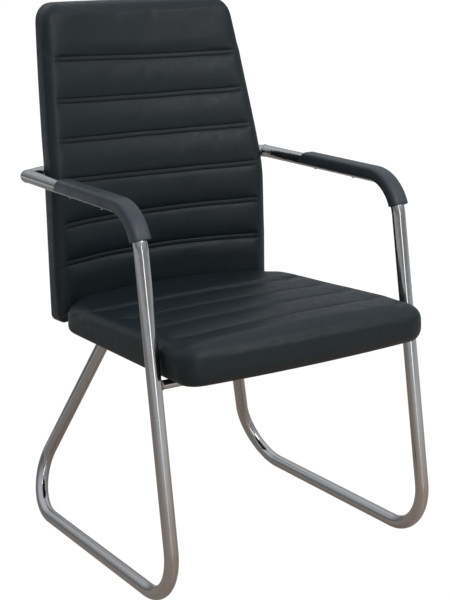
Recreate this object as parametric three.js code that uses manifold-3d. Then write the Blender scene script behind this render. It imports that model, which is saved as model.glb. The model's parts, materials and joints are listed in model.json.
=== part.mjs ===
// Sled base visitor chair with arms: two bent tube side frames, cross tubes, an upholstered seat and back,
// and moulded arm pads. Millimetres, +Z up, the sitter faces -Y, X is symmetric.
// The runners lie on Z = 0 and the origin is under the middle of the outer box.

import * as THREE from 'three';
import { mergeVertices } from 'three/addons/utils/BufferGeometryUtils.js';
import Module from 'manifold-3d';

const wasm = await Module();
wasm.setup();

// Shared values
const MESH_GAP = 0.3;
const CUT_OVERRUN = 5;
const WELD_TOLERANCE = 0.0001;
const TURN_PER_STEP = THREE.MathUtils.degToRad(15);

// Frame tube
const TUBE_DIAMETER = 25;
const TUBE_WALL = 1.5;
const TUBE_SIDES = 16;
const BORE_SIDES = 8;

// Side frame, as the centreline corners of one bent tube
const FRAME_SPACING = 533.4;
const FLOOR_FRONT_Y = -320.3;
const FLOOR_REAR_Y = 303.3;
const ARM_FRONT_Y = -233.2;
const ARM_FRONT_Z = 674.3;
const ARM_REAR_Y = 204.2;
const ARM_REAR_Z = 685;
const REAR_LEG_FORWARD_SHARE = 0.426;
const REAR_LEG_INWARD_SHARE = 0.3592;
const ARM_BEND_RADIUS = 76;
const FLOOR_FRONT_BEND_RADIUS = 90;
const FLOOR_REAR_BEND_RADIUS = 85;
const RAIL_BEND_RADIUS = 60;

// Cross tubes
const ARM_CROSSBAR_Y = 236;
const ARM_CROSSBAR_CORNER_X = 220;
const ARM_CROSSBAR_BEND_RADIUS = 60;
const SEAT_BAR_DIAMETER = 16;
const SEAT_BAR_WALL = 1.5;
const SEAT_BAR_DROP = 10;
const REAR_SEAT_BAR_Y = 50;

// Seat cushion
const SEAT_WIDTH = 498;
const SEAT_FRONT_Y = -350;
const SEAT_REAR_Y = 148;
const SEAT_REAR_BOW = 44;
const SEAT_BOTTOM_Z = 400;
const SEAT_TOP_FRONT_Z = 466;
const SEAT_TOP_REAR_Z = 443;
const SEAT_FRONT_CORNER_RADIUS = 38;
const SEAT_REAR_CORNER_RADIUS = 75;
const SEAT_CROWN = 4;
const SEAT_SIDE_EDGE_RADIUS = 16;
const SEAT_FRONT_EDGE_RADIUS = 38;
const SEAT_SEAM_FIRST_Y = -255;
const SEAT_SEAM_PITCH = 93;
const SEAT_SEAM_COUNT = 4;

// Back cushion
const BACK_WIDTH = 470;
const BACK_TOP_WIDTH = 408;
const BACK_TAPER_START_Z = 640;
const BACK_TAPER_POWER = 1.3;
const BACK_BOTTOM_Z = 398;
const BACK_TOP_Z = 1006;
const BACK_FRONT_Y = 151;
const BACK_RECLINE_START_Z = 668;
const BACK_RECLINE = THREE.MathUtils.degToRad(12.6);
const BACK_RECLINE_RADIUS = 350;
const BACK_EDGE_THICKNESS = 57;
const BACK_HOLLOW_BOTTOM = 45;
const BACK_HOLLOW_TOP = 21;
const BACK_REAR_BOW = 9;
const BACK_BOTTOM_CORNER_RADIUS = 20;
const BACK_TOP_CORNER_RADIUS = 38;
const BACK_EDGE_RADIUS = 18;
const BACK_SEAM_FIRST_Z = 518;
const BACK_SEAM_PITCH = 75.5;
const BACK_SEAM_COUNT = 6;

// Sewn seams, shared by both cushions
const SEAM_DEPTH = 3.5;
const SEAM_HALF_WIDTH = 13;
const SEAM_FLOOR_SHARE = 0.4;
const PANEL_PUFF = 2.5;
const TOP_RING_INSET = 7;
const SIDE_BULGE_INSET = 2.5;
const BOTTOM_EDGE_INSET = 8;
const RING_LEVEL_SHARES = [0, 0.12, 0.5, 0.82, 1];

// Grid lines of the cushions, in from an edge as shares of its radius, then as shares of what is left
const SIDE_GRID_SHARES = [0.55, 1, 1.8];
const INNER_GRID_SHARES = [0.62, 0.31];
const SEAT_FRONT_GRID_SHARES = [0.4, 0.7, 1, 1.6];
const SEAT_REAR_GRID_SHARES = [2.4, 1, 0.55];
const BACK_BOTTOM_GRID_SHARES = [0.55, 1, 2.6];
const BACK_TOP_GRID_SHARES = [2.6, 1.6, 1, 0.55];

// Boards and covers inside the upholstery
const BOARD_RIM = 14;
const BOARD_CLEARANCE = 1;
const SEAT_BOARD_THICKNESS = 12;
const UNDERSIDE_COVER_THICKNESS = 1;
const BACK_BOARD_THICKNESS = 9;
const REAR_COVER_THICKNESS = 4;
const NUT_ROOM = 3;
const SEAT_LAYER_COLUMN_SHARES = [-1, -0.9, -0.7, -0.35, 0, 0.35, 0.7, 0.9, 1];
const SEAT_LAYER_ROW_SHARES = [-1, -0.9, -0.3, 0.4, 0.78, 0.92, 1];
const BACK_LAYER_COLUMN_SHARES = [-1, -0.92, -0.6, -0.3, 0, 0.3, 0.6, 0.92, 1];

// Rows of the back's layers, as shares of the height below its bend, of the bend and of the height above
const BACK_LAYER_LOW_SHARES = [0, 0.08];
const BACK_LAYER_BEND_SHARES = [-0.05, 0.29, 0.59, 0.93];
const BACK_LAYER_HIGH_SHARES = [0.4, 0.84, 0.94, 1];

// Plates and straps
const PLATE_THICKNESS = 3;
const PLATE_WIDTH = 66;
const PLATE_LENGTH = 34;
const FRONT_PLATE_Y = -190;
const STRAP_SEAT_END_Y = 10;
const STRAP_BOLT_FIRST_Y = 30;
const STRAP_CRANK_LENGTH = 14;
const STRAP_CRANK_CLEARANCE = 2;
const STRAP_UNDER_BACK_GAP = 2;
const STRAP_RISE = 92;
const STRAP_BACK_BOLT_Z = 430;
const STRAP_BACK_BOLT_SPACING = 36;
const STRAP_BACK_WIDTH = 34;

// Fasteners
const BOLT_DIAMETER = 6;
const BOLT_HEAD_DIAMETER = 12;
const BOLT_HEAD_HEIGHT = 4;
const BOLT_REACH = 16;
const HOLE_CLEARANCE = 0.5;
const NUT_BARREL_DIAMETER = 9;
const NUT_FLANGE_DIAMETER = 18;
const NUT_FLANGE_THICKNESS = 1.2;
const NUT_BARREL_LENGTH = 7;
const HEAD_CHAMFER_SHARE = 0.4;
const FASTENER_SIDES = 8;
const PLATE_BOLT_OFFSET = 22;
const BACK_BOLT_X = 100;
const SADDLE_DIAMETER = 22;

// Arm pads
const PAD_SIDE_THICKNESS = 4.5;
const PAD_TOP_THICKNESS = 5;
const PAD_REAR_Y = 56;
const PAD_BENT_SHARE = 0.83;
const PAD_LIP_ANGLE = THREE.MathUtils.degToRad(3);
const PAD_REAR_CHAMFER = THREE.MathUtils.degToRad(35);
const PAD_SQUARENESS_SHARE = 0.8;
const PAD_OUTLINE_STEPS = 12;
const PAD_SCREW_REAR_Y = 20;
const PAD_SCREW_FRONT_Y = -105;
const SCREW_DIAMETER = 4;
const SCREW_HEAD_DIAMETER = 7;
const SCREW_HEAD_HEIGHT = 1.2;
const SCREW_BITE = 3;

// Derived places
const tubeRadius = TUBE_DIAMETER / 2;
const frameX = FRAME_SPACING / 2;
const runnerZ = tubeRadius;
const railZ = SEAT_BOTTOM_Z - MESH_GAP - tubeRadius;
const railRise = railZ - runnerZ;
const railX = frameX - railRise * REAR_LEG_INWARD_SHARE;
const railRearY = FLOOR_REAR_Y - railRise * REAR_LEG_FORWARD_SHARE;
const seatBarRadius = SEAT_BAR_DIAMETER / 2;
const seatBarZ = SEAT_BOTTOM_Z - SEAT_BAR_DROP;
const frontLegLean = (ARM_FRONT_Y - FLOOR_FRONT_Y) / (ARM_FRONT_Z - runnerZ);
const seatBarY = FLOOR_FRONT_Y + (seatBarZ - runnerZ) * frontLegLean;
const armSlope = (ARM_REAR_Z - ARM_FRONT_Z) / (ARM_REAR_Y - ARM_FRONT_Y);
const plateTopZ = SEAT_BOTTOM_Z + PLATE_THICKNESS;
const undersideCoverZ = plateTopZ + MESH_GAP;
const seatBoardZ = undersideCoverZ + UNDERSIDE_COVER_THICKNESS + MESH_GAP;
const seatBoardTopZ = seatBoardZ + SEAT_BOARD_THICKNESS;
const boltHoleRadius = BOLT_DIAMETER / 2 + HOLE_CLEARANCE;
const nutHoleRadius = NUT_BARREL_DIAMETER / 2 + HOLE_CLEARANCE;

// Finishes
const chrome = { color: 0x9a9690, roughness: 0.12, metalness: 1 };
const zincPlate = { color: 0xa8a8a4, roughness: 0.4, metalness: 0.9 };
const blackSteel = { color: 0x1c1c1d, roughness: 0.5, metalness: 0.4 };
const leatherette = { color: 0x17191b, roughness: 0.5, metalness: 0 };
const padPlastic = { color: 0x242628, roughness: 0.6, metalness: 0 };
const plywood = { color: 0xb8935f, roughness: 0.75, metalness: 0 };
const liningFabric = { color: 0x141414, roughness: 0.9, metalness: 0 };

const chair = new THREE.Group();

function addPart(name, geometry, finish) {
  const plain = geometry.index ? geometry.toNonIndexed() : geometry;
  plain.deleteAttribute('uv');
  plain.computeVertexNormals();
  const mesh = new THREE.Mesh(plain, new THREE.MeshStandardMaterial(finish));
  mesh.name = name;
  chair.add(mesh);
}

// Booleans
function toSolid(geometry) {
  const bare = geometry.clone();
  bare.deleteAttribute('normal');
  bare.deleteAttribute('uv');
  const merged = mergeVertices(bare, WELD_TOLERANCE);
  return new wasm.Manifold(new wasm.Mesh({
    numProp: 3,
    vertProperties: new Float32Array(merged.attributes.position.array),
    triVerts: new Uint32Array(merged.index.array),
  }));
}

function toGeometry(solid) {
  const mesh = solid.getMesh();
  const geometry = new THREE.BufferGeometry();
  geometry.setAttribute('position', new THREE.BufferAttribute(new Float32Array(mesh.vertProperties), 3));
  geometry.setIndex(new THREE.BufferAttribute(new Uint32Array(mesh.triVerts), 1));
  return geometry;
}

function cut(geometry, ...tools) {
  let solid = toSolid(geometry);
  for (const tool of tools) {
    solid = solid.subtract(toSolid(tool));
  }
  return toGeometry(solid);
}

// A block that fills the space beyond a plane, on the side that the normal points to.
function blockBeyond(point, normal, size) {
  const turn = new THREE.Quaternion().setFromUnitVectors(new THREE.Vector3(0, 0, 1), normal);
  const centre = point.clone().addScaledVector(normal, size / 2);
  return new THREE.BoxGeometry(size, size, size)
    .applyQuaternion(turn)
    .translate(centre.x, centre.y, centre.z);
}

// A round rod between two points, whose flats touch the true circle.
function rod(start, end, radius, sides) {
  const axis = end.clone().sub(start);
  const middle = start.clone().add(end).multiplyScalar(0.5);
  const reach = radius / Math.cos(Math.PI / sides);
  const turn = new THREE.Quaternion().setFromUnitVectors(
    new THREE.Vector3(0, 1, 0), axis.clone().normalize());
  return new THREE.CylinderGeometry(reach, reach, axis.length(), sides)
    .rotateY(Math.PI / sides)
    .applyQuaternion(turn)
    .translate(middle.x, middle.y, middle.z);
}

// Straight runs joined by round bends. Stations lie only where the direction changes.
// A bend with a bent share ends the path at the station nearest to that share of its turn.
class BentPath extends THREE.Curve {
  constructor(corners) {
    super();
    this.stations = [];
    const last = corners.length - 1;
    corners.forEach((corner, index) => {
      if (index === last && corners[last - 1].bentShare) {
        return;
      }
      if (index === 0 || index === last) {
        const other = corners[index === 0 ? 1 : last - 1].point;
        const tangent = other.clone().sub(corner.point).normalize();
        this.stations.push({ point: corner.point, tangent: index === 0 ? tangent : tangent.negate() });
        return;
      }
      this.addBend(corners[index - 1].point, corner, corners[index + 1].point);
    });
    this.steps = this.stations.length - 1;
  }

  addBend(before, corner, after) {
    const arriving = corner.point.clone().sub(before).normalize();
    const leaving = after.clone().sub(corner.point).normalize();
    const turn = arriving.angleTo(leaving);
    const setback = corner.radius * Math.tan(turn / 2);
    const start = corner.point.clone().addScaledVector(arriving, -setback);
    const inward = leaving.clone().addScaledVector(arriving, -arriving.dot(leaving)).normalize();
    const count = Math.ceil(turn / TURN_PER_STEP);
    const bent = Math.round(count * (corner.bentShare ?? 1));
    for (let step = 0; step <= bent; step += 1) {
      const angle = turn * step / count;
      const point = start.clone()
        .addScaledVector(arriving, corner.radius * Math.sin(angle))
        .addScaledVector(inward, corner.radius * (1 - Math.cos(angle)));
      const tangent = arriving.clone()
        .multiplyScalar(Math.cos(angle))
        .addScaledVector(inward, Math.sin(angle));
      this.stations.push({ point, tangent });
    }
  }

  getPointAt(share) {
    return this.stations[Math.round(share * this.steps)].point.clone();
  }

  getTangentAt(share) {
    return this.stations[Math.round(share * this.steps)].tangent.clone();
  }
}

function ringPoints(radius, sides) {
  return Array.from({ length: sides }, (_, index) => {
    const angle = (index + 0.5) * 2 * Math.PI / sides;
    return new THREE.Vector2(radius * Math.cos(angle), radius * Math.sin(angle));
  });
}

function sweep(shape, path) {
  return new THREE.ExtrudeGeometry(shape, { steps: path.steps, extrudePath: path });
}

// A tube whose outer flats touch the true circle, so a level run rests on a flat.
function tube(path, radius, wall) {
  const shape = new THREE.Shape(ringPoints(radius / Math.cos(Math.PI / TUBE_SIDES), TUBE_SIDES));
  shape.holes.push(new THREE.Path(ringPoints(radius - wall, BORE_SIDES)));
  return sweep(shape, path);
}

const at = (x, y, z) => new THREE.Vector3(x, y, z);

// Side frames
function armPoint(side, y) {
  return at(side * frameX, y, ARM_FRONT_Z + (y - ARM_FRONT_Y) * armSlope);
}

function frontLegPoint(side, z) {
  return at(side * frameX, FLOOR_FRONT_Y + (z - runnerZ) * frontLegLean, z);
}

function elbowPlane(side) {
  const elbow = at(side * frameX, ARM_REAR_Y, ARM_REAR_Z);
  const alongArm = armPoint(side, ARM_FRONT_Y).sub(elbow).normalize();
  const alongBar = at(side * ARM_CROSSBAR_CORNER_X, ARM_CROSSBAR_Y, ARM_REAR_Z).sub(elbow).normalize();
  return { elbow, alongArm, alongBar, normal: alongArm.clone().sub(alongBar).normalize() };
}

function screwAxis(side, y) {
  const middle = armPoint(side, y);
  const up = at(0, -armSlope, 1).normalize();
  return { middle, up };
}

function padScrewHole(side, y, below, above) {
  const { middle, up } = screwAxis(side, y);
  return rod(
    middle.clone().addScaledVector(up, -below),
    middle.clone().addScaledVector(up, above),
    SCREW_DIAMETER / 2 + HOLE_CLEARANCE,
    FASTENER_SIDES,
  );
}

function frontSeatBarRod(extra) {
  const start = at(-frameX, seatBarY, seatBarZ);
  const end = at(frameX, seatBarY, seatBarZ);
  return rod(start, end, seatBarRadius + extra, TUBE_SIDES);
}

function sideTube(side) {
  const { elbow, alongArm, normal } = elbowPlane(side);
  const path = new BentPath([
    { point: elbow.clone().addScaledVector(alongArm, -TUBE_DIAMETER) },
    { point: at(side * frameX, ARM_FRONT_Y, ARM_FRONT_Z), radius: ARM_BEND_RADIUS },
    { point: at(side * frameX, FLOOR_FRONT_Y, runnerZ), radius: FLOOR_FRONT_BEND_RADIUS },
    { point: at(side * frameX, FLOOR_REAR_Y, runnerZ), radius: FLOOR_REAR_BEND_RADIUS },
    { point: at(side * railX, railRearY, railZ), radius: RAIL_BEND_RADIUS },
    { point: at(side * railX, seatBarY, railZ) },
  ]);
  const mitreFace = elbow.clone().addScaledVector(normal, MESH_GAP / 2);
  const screwReach = tubeRadius + CUT_OVERRUN;
  return cut(
    tube(path, tubeRadius, TUBE_WALL),
    blockBeyond(mitreFace, normal.clone().negate(), TUBE_DIAMETER * 3),
    frontSeatBarRod(MESH_GAP),
    padScrewHole(side, PAD_SCREW_REAR_Y, screwReach, screwReach),
    padScrewHole(side, PAD_SCREW_FRONT_Y, screwReach, screwReach),
  );
}

// Cross tubes
function rearArmCrossbar() {
  const left = elbowPlane(-1);
  const right = elbowPlane(1);
  const path = new BentPath([
    { point: left.elbow.clone().addScaledVector(left.alongBar, -TUBE_DIAMETER) },
    { point: at(-ARM_CROSSBAR_CORNER_X, ARM_CROSSBAR_Y, ARM_REAR_Z), radius: ARM_CROSSBAR_BEND_RADIUS },
    { point: at(ARM_CROSSBAR_CORNER_X, ARM_CROSSBAR_Y, ARM_REAR_Z), radius: ARM_CROSSBAR_BEND_RADIUS },
    { point: right.elbow.clone().addScaledVector(right.alongBar, -TUBE_DIAMETER) },
  ]);
  const mitres = [left, right].map(({ elbow, normal }) => {
    const face = elbow.clone().addScaledVector(normal, -MESH_GAP / 2);
    return blockBeyond(face, normal, TUBE_DIAMETER * 3);
  });
  const reach = tubeRadius + CUT_OVERRUN;
  const holes = barBoltPlaces.map(({ bar, inward }) => boltHole(bar, inward, reach, reach, boltHoleRadius));
  return cut(tube(path, tubeRadius, TUBE_WALL), ...mitres, ...holes);
}

function straightBar(start, end) {
  return tube(new BentPath([{ point: start }, { point: end }]), seatBarRadius, SEAT_BAR_WALL);
}

function frontSeatCrossbar() {
  const legs = [-1, 1].map((side) => rod(
    frontLegPoint(side, seatBarZ - TUBE_DIAMETER),
    frontLegPoint(side, seatBarZ + TUBE_DIAMETER),
    tubeRadius + MESH_GAP,
    TUBE_SIDES,
  ));
  return cut(straightBar(at(-frameX, seatBarY, seatBarZ), at(frameX, seatBarY, seatBarZ)), ...legs);
}

function rearSeatCrossbar() {
  const rails = [-1, 1].map((side) => rod(
    at(side * railX, REAR_SEAT_BAR_Y - TUBE_DIAMETER, railZ),
    at(side * railX, REAR_SEAT_BAR_Y + TUBE_DIAMETER, railZ),
    tubeRadius + MESH_GAP,
    TUBE_SIDES,
  ));
  return cut(straightBar(at(-railX, REAR_SEAT_BAR_Y, railZ), at(railX, REAR_SEAT_BAR_Y, railZ)), ...rails);
}

// Cushion and board forms
// Moves a point of a rectangle's corner square onto the quarter disc inside it.
function roundCorner(point, centreX, centreY, signX, signY, radius) {
  const across = (point.x - centreX) * signX / radius;
  const along = (point.y - centreY) * signY / radius;
  if (across <= 0 || along <= 0) {
    return;
  }
  const reach = Math.max(across, along) * radius;
  const eighth = Math.PI / 4;
  const angle = across >= along ? along / across * eighth : 2 * eighth - across / along * eighth;
  point.set(centreX + signX * reach * Math.cos(angle), centreY + signY * reach * Math.sin(angle));
}

function roundedPlan(plan, inset, shareX, shareY) {
  const halfWidth = plan.halfWidth - inset;
  const low = plan.low + inset;
  const high = plan.high - inset;
  const lowRadius = Math.max(plan.lowRadius - inset, MESH_GAP);
  const highRadius = Math.max(plan.highRadius - inset, MESH_GAP);
  const point = new THREE.Vector2(
    shareX * halfWidth,
    THREE.MathUtils.lerp(low, high, (shareY + 1) / 2),
  );
  for (const side of [-1, 1]) {
    roundCorner(point, side * (halfWidth - lowRadius), low + lowRadius, side, -1, lowRadius);
    roundCorner(point, side * (halfWidth - highRadius), high - highRadius, side, 1, highRadius);
  }
  return point;
}

// Distance from a point inside a rounded plan to its edge.
function edgeDistance(plan, x, y) {
  const radius = y < (plan.low + plan.high) / 2 ? plan.lowRadius : plan.highRadius;
  const overX = Math.abs(x) - (plan.halfWidth - radius);
  const overY = Math.max(plan.low - y, y - plan.high) + radius;
  if (overX > 0 && overY > 0) {
    return radius - Math.hypot(overX, overY);
  }
  return Math.min(plan.halfWidth - Math.abs(x), y - plan.low, plan.high - y);
}

// How far an edge of the given radius has dropped at a distance in from the edge.
function roundDrop(distance, radius) {
  const left = Math.max(radius - Math.max(distance, 0), 0);
  return radius - Math.sqrt(radius * radius - left * left);
}

// Height of the padding across its sewn seams: down at a seam, up between two of them.
function seamRelief(place, first, pitch, count) {
  const last = first + (count - 1) * pitch;
  const nearest = THREE.MathUtils.clamp(Math.round((place - first) / pitch), 0, count - 1);
  const distance = Math.abs(place - first - nearest * pitch);
  const floor = SEAM_HALF_WIDTH * SEAM_FLOOR_SHARE;
  const depth = SEAM_DEPTH * (1 - THREE.MathUtils.smoothstep(distance, floor, SEAM_HALF_WIDTH));
  const between = place > first && place < last;
  const puff = between ? PANEL_PUFF * Math.sin(Math.PI * distance / pitch) ** 2 : 0;
  return puff - depth;
}

// Places of the grid lines across one seam and in the middle of the panel after it.
function seamLines(first, pitch, count) {
  const floor = SEAM_HALF_WIDTH * SEAM_FLOOR_SHARE;
  return Array.from({ length: count }, (_, index) => {
    const seam = first + index * pitch;
    const lines = [seam - SEAM_HALF_WIDTH, seam - floor, seam + floor, seam + SEAM_HALF_WIDTH];
    return index < count - 1 ? [...lines, seam + pitch / 2] : lines;
  }).flat();
}

function toShares(places, low, high, inset) {
  const middle = (low + high) / 2;
  const half = (high - low) / 2 - inset;
  return places.map((place) => (place - middle) / half);
}

// A closed slab on a grid: a low face, a high face and rings around the edge between them.
// place(shareX, shareY, inset, level) gives a point, with level 0 on the low face and 1 on the high face.
function slab(columns, rows, rings, place) {
  const points = [];
  const triangles = [];
  const lastColumn = columns.length - 1;
  const lastRow = rows.length - 1;
  const addPoint = (column, row, ring) => {
    points.push(...place(columns[column], rows[row], ring.inset, ring.level).toArray());
    return points.length / 3 - 1;
  };
  const addQuad = (a, b, c, d) => triangles.push(a, b, c, a, c, d);
  const face = (ring) => columns.map((_, column) => rows.map((__, row) => addPoint(column, row, ring)));
  const loop = [];
  for (let column = 0; column < lastColumn; column += 1) loop.push([column, 0]);
  for (let row = 0; row < lastRow; row += 1) loop.push([lastColumn, row]);
  for (let column = lastColumn; column > 0; column -= 1) loop.push([column, lastRow]);
  for (let row = lastRow; row > 0; row -= 1) loop.push([0, row]);
  const low = face(rings[0]);
  const high = face(rings[rings.length - 1]);
  for (let column = 0; column < lastColumn; column += 1) {
    for (let row = 0; row < lastRow; row += 1) {
      addQuad(high[column][row], high[column + 1][row], high[column + 1][row + 1], high[column][row + 1]);
      addQuad(low[column][row], low[column][row + 1], low[column + 1][row + 1], low[column + 1][row]);
    }
  }
  const loops = rings.map((ring, index) => {
    if (index === 0) return loop.map(([column, row]) => low[column][row]);
    if (index === rings.length - 1) return loop.map(([column, row]) => high[column][row]);
    return loop.map(([column, row]) => addPoint(column, row, ring));
  });
  for (let index = 0; index < loops.length - 1; index += 1) {
    loop.forEach((_, start) => {
      const end = (start + 1) % loop.length;
      addQuad(loops[index][start], loops[index][end], loops[index + 1][end], loops[index + 1][start]);
    });
  }
  const geometry = new THREE.BufferGeometry();
  geometry.setAttribute('position', new THREE.BufferAttribute(new Float32Array(points), 3));
  geometry.setIndex(triangles);
  return geometry;
}

const ringInsets = [BOTTOM_EDGE_INSET, SIDE_BULGE_INSET, 0, SIDE_BULGE_INSET, TOP_RING_INSET];
const cushionRings = ringInsets.map((inset, index) => ({ inset, level: RING_LEVEL_SHARES[index] }));
const boardRings = [{ inset: 0, level: 0 }, { inset: 0, level: 1 }];

// Distances in from an edge of the given radius, for the grid lines along it.
function edgeInsets(radius, gridShares) {
  return gridShares.map((share) => radius * share);
}

function cushionColumns(halfWidth, edgeRadius) {
  const insets = [TOP_RING_INSET, ...edgeInsets(edgeRadius, SIDE_GRID_SHARES)];
  const edge = insets.map((inset) => halfWidth - inset);
  const inner = edge[edge.length - 1];
  const half = [...edge, ...INNER_GRID_SHARES.map((share) => inner * share)];
  const places = [...half.map((x) => -x), 0, ...half.reverse()];
  return toShares(places, -halfWidth, halfWidth, TOP_RING_INSET);
}

// Seat
const seatPlan = {
  halfWidth: SEAT_WIDTH / 2,
  low: SEAT_FRONT_Y,
  high: SEAT_REAR_Y,
  lowRadius: SEAT_FRONT_CORNER_RADIUS,
  highRadius: SEAT_REAR_CORNER_RADIUS,
};
const seatSeamLastY = SEAT_SEAM_FIRST_Y + (SEAT_SEAM_COUNT - 1) * SEAT_SEAM_PITCH;

// The rear edge bows back into the hollow of the backrest.
function seatBowed(plan, x, y) {
  const ramp = THREE.MathUtils.smoothstep(y, seatSeamLastY + SEAM_HALF_WIDTH, plan.high);
  return y + SEAT_REAR_BOW * ramp * (1 - (x / plan.halfWidth) ** 2);
}

function seatTop(x, y) {
  const slope = (SEAT_TOP_FRONT_Z - SEAT_TOP_REAR_Z) / (SEAT_REAR_Y - SEAT_FRONT_Y);
  const side = roundDrop(edgeDistance(seatPlan, x, y), SEAT_SIDE_EDGE_RADIUS);
  const front = roundDrop(y - SEAT_FRONT_Y, SEAT_FRONT_EDGE_RADIUS);
  const sideDistance = seatPlan.halfWidth - Math.abs(x);
  const fade = THREE.MathUtils.smoothstep(sideDistance, TOP_RING_INSET, SEAT_SIDE_EDGE_RADIUS);
  return SEAT_TOP_REAR_Z + (SEAT_REAR_Y - y) * slope
    + SEAT_CROWN * (1 - (x / seatPlan.halfWidth) ** 2)
    + seamRelief(y, SEAT_SEAM_FIRST_Y, SEAT_SEAM_PITCH, SEAT_SEAM_COUNT) * fade
    - Math.max(side, front);
}

function seatRows() {
  const frontInsets = [TOP_RING_INSET, ...edgeInsets(SEAT_FRONT_EDGE_RADIUS, SEAT_FRONT_GRID_SHARES)];
  const rearInsets = [...edgeInsets(SEAT_SIDE_EDGE_RADIUS, SEAT_REAR_GRID_SHARES), TOP_RING_INSET];
  const places = [
    ...frontInsets.map((inset) => SEAT_FRONT_Y + inset),
    ...seamLines(SEAT_SEAM_FIRST_Y, SEAT_SEAM_PITCH, SEAT_SEAM_COUNT),
    ...rearInsets.map((inset) => SEAT_REAR_Y - inset),
  ];
  return toShares(places, SEAT_FRONT_Y, SEAT_REAR_Y, TOP_RING_INSET);
}

function seatCushion() {
  const body = slab(
    cushionColumns(seatPlan.halfWidth, SEAT_SIDE_EDGE_RADIUS),
    seatRows(),
    cushionRings,
    (shareX, shareY, inset, level) => {
      const { x, y } = roundedPlan(seatPlan, inset, shareX, shareY);
      return at(x, seatBowed(seatPlan, x, y), THREE.MathUtils.lerp(SEAT_BOTTOM_Z, seatTop(x, y), level));
    },
  );
  const pocketTop = seatBoardTopZ + NUT_ROOM + MESH_GAP;
  return cut(body, seatLayer(BOARD_RIM - BOARD_CLEARANCE, SEAT_BOTTOM_Z - CUT_OVERRUN, pocketTop));
}

// A flat layer that follows the seat's outline, in from its edge.
function seatLayer(inset, lowZ, highZ) {
  return slab(SEAT_LAYER_COLUMN_SHARES, SEAT_LAYER_ROW_SHARES, boardRings, (shareX, shareY, _, level) => {
    const { x, y } = roundedPlan(seatPlan, inset, shareX, shareY);
    return at(x, seatBowed(seatPlan, x, y), THREE.MathUtils.lerp(lowZ, highZ, level));
  });
}

const seatBoltPlaces = [-1, 1].flatMap((side) => [-1, 1].flatMap((offset) => [
  { side, offset, y: FRONT_PLATE_Y },
  { side, offset, y: STRAP_BOLT_FIRST_Y },
])).map((place) => ({ ...place, x: place.side * railX + place.offset * PLATE_BOLT_OFFSET }));

function verticalHoles(radius) {
  const low = SEAT_BOTTOM_Z - CUT_OVERRUN;
  const high = seatBoardTopZ + CUT_OVERRUN;
  return seatBoltPlaces.map(({ x, y }) => rod(at(x, y, low), at(x, y, high), radius, FASTENER_SIDES));
}

function seatBoard() {
  return cut(seatLayer(BOARD_RIM, seatBoardZ, seatBoardTopZ), ...verticalHoles(nutHoleRadius));
}

function undersideCover() {
  const top = undersideCoverZ + UNDERSIDE_COVER_THICKNESS;
  return cut(seatLayer(BOARD_RIM, undersideCoverZ, top), ...verticalHoles(boltHoleRadius));
}

// Back
const backPlan = {
  halfWidth: BACK_WIDTH / 2,
  low: BACK_BOTTOM_Z,
  high: BACK_TOP_Z,
  lowRadius: BACK_BOTTOM_CORNER_RADIUS,
  highRadius: BACK_TOP_CORNER_RADIUS,
};

// The back stands upright, then leans back through one large bend.
function backBend() {
  const setback = BACK_RECLINE_RADIUS * Math.tan(BACK_RECLINE / 2);
  return {
    start: BACK_RECLINE_START_Z - setback,
    end: BACK_RECLINE_START_Z + setback * Math.cos(BACK_RECLINE),
  };
}

function backLean(z) {
  const { start, end } = backBend();
  if (z <= start) {
    return 0;
  }
  if (z >= end) {
    return (z - BACK_RECLINE_START_Z) * Math.tan(BACK_RECLINE);
  }
  return BACK_RECLINE_RADIUS - Math.sqrt(BACK_RECLINE_RADIUS ** 2 - (z - start) ** 2);
}

function backTaper(z) {
  const share = THREE.MathUtils.clamp((z - BACK_TAPER_START_Z) / (BACK_TOP_Z - BACK_TAPER_START_Z), 0, 1);
  return THREE.MathUtils.lerp(1, BACK_TOP_WIDTH / BACK_WIDTH, share ** BACK_TAPER_POWER);
}

function backHollow(z) {
  const share = (z - BACK_BOTTOM_Z) / (BACK_TOP_Z - BACK_BOTTOM_Z);
  return THREE.MathUtils.lerp(BACK_HOLLOW_BOTTOM, BACK_HOLLOW_TOP, share);
}

function backRearY(x, z) {
  const bow = BACK_REAR_BOW * (1 - (x / backPlan.halfWidth) ** 2);
  return BACK_FRONT_Y + backLean(z) + BACK_EDGE_THICKNESS + bow;
}

function backFrontY(x, z) {
  const distance = edgeDistance(backPlan, x, z);
  const fade = THREE.MathUtils.smoothstep(distance, TOP_RING_INSET, BACK_EDGE_RADIUS);
  return BACK_FRONT_Y + backLean(z)
    + backHollow(z) * (1 - (x / backPlan.halfWidth) ** 2)
    - seamRelief(z, BACK_SEAM_FIRST_Z, BACK_SEAM_PITCH, BACK_SEAM_COUNT) * fade
    + roundDrop(distance, BACK_EDGE_RADIUS);
}

function backRows() {
  const bottomInsets = [TOP_RING_INSET, ...edgeInsets(BACK_EDGE_RADIUS, BACK_BOTTOM_GRID_SHARES)];
  const topInsets = [...edgeInsets(BACK_EDGE_RADIUS, BACK_TOP_GRID_SHARES), TOP_RING_INSET];
  const places = [
    ...bottomInsets.map((inset) => BACK_BOTTOM_Z + inset),
    ...seamLines(BACK_SEAM_FIRST_Z, BACK_SEAM_PITCH, BACK_SEAM_COUNT),
    ...topInsets.map((inset) => BACK_TOP_Z - inset),
  ];
  return toShares(places, BACK_BOTTOM_Z, BACK_TOP_Z, TOP_RING_INSET);
}

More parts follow.
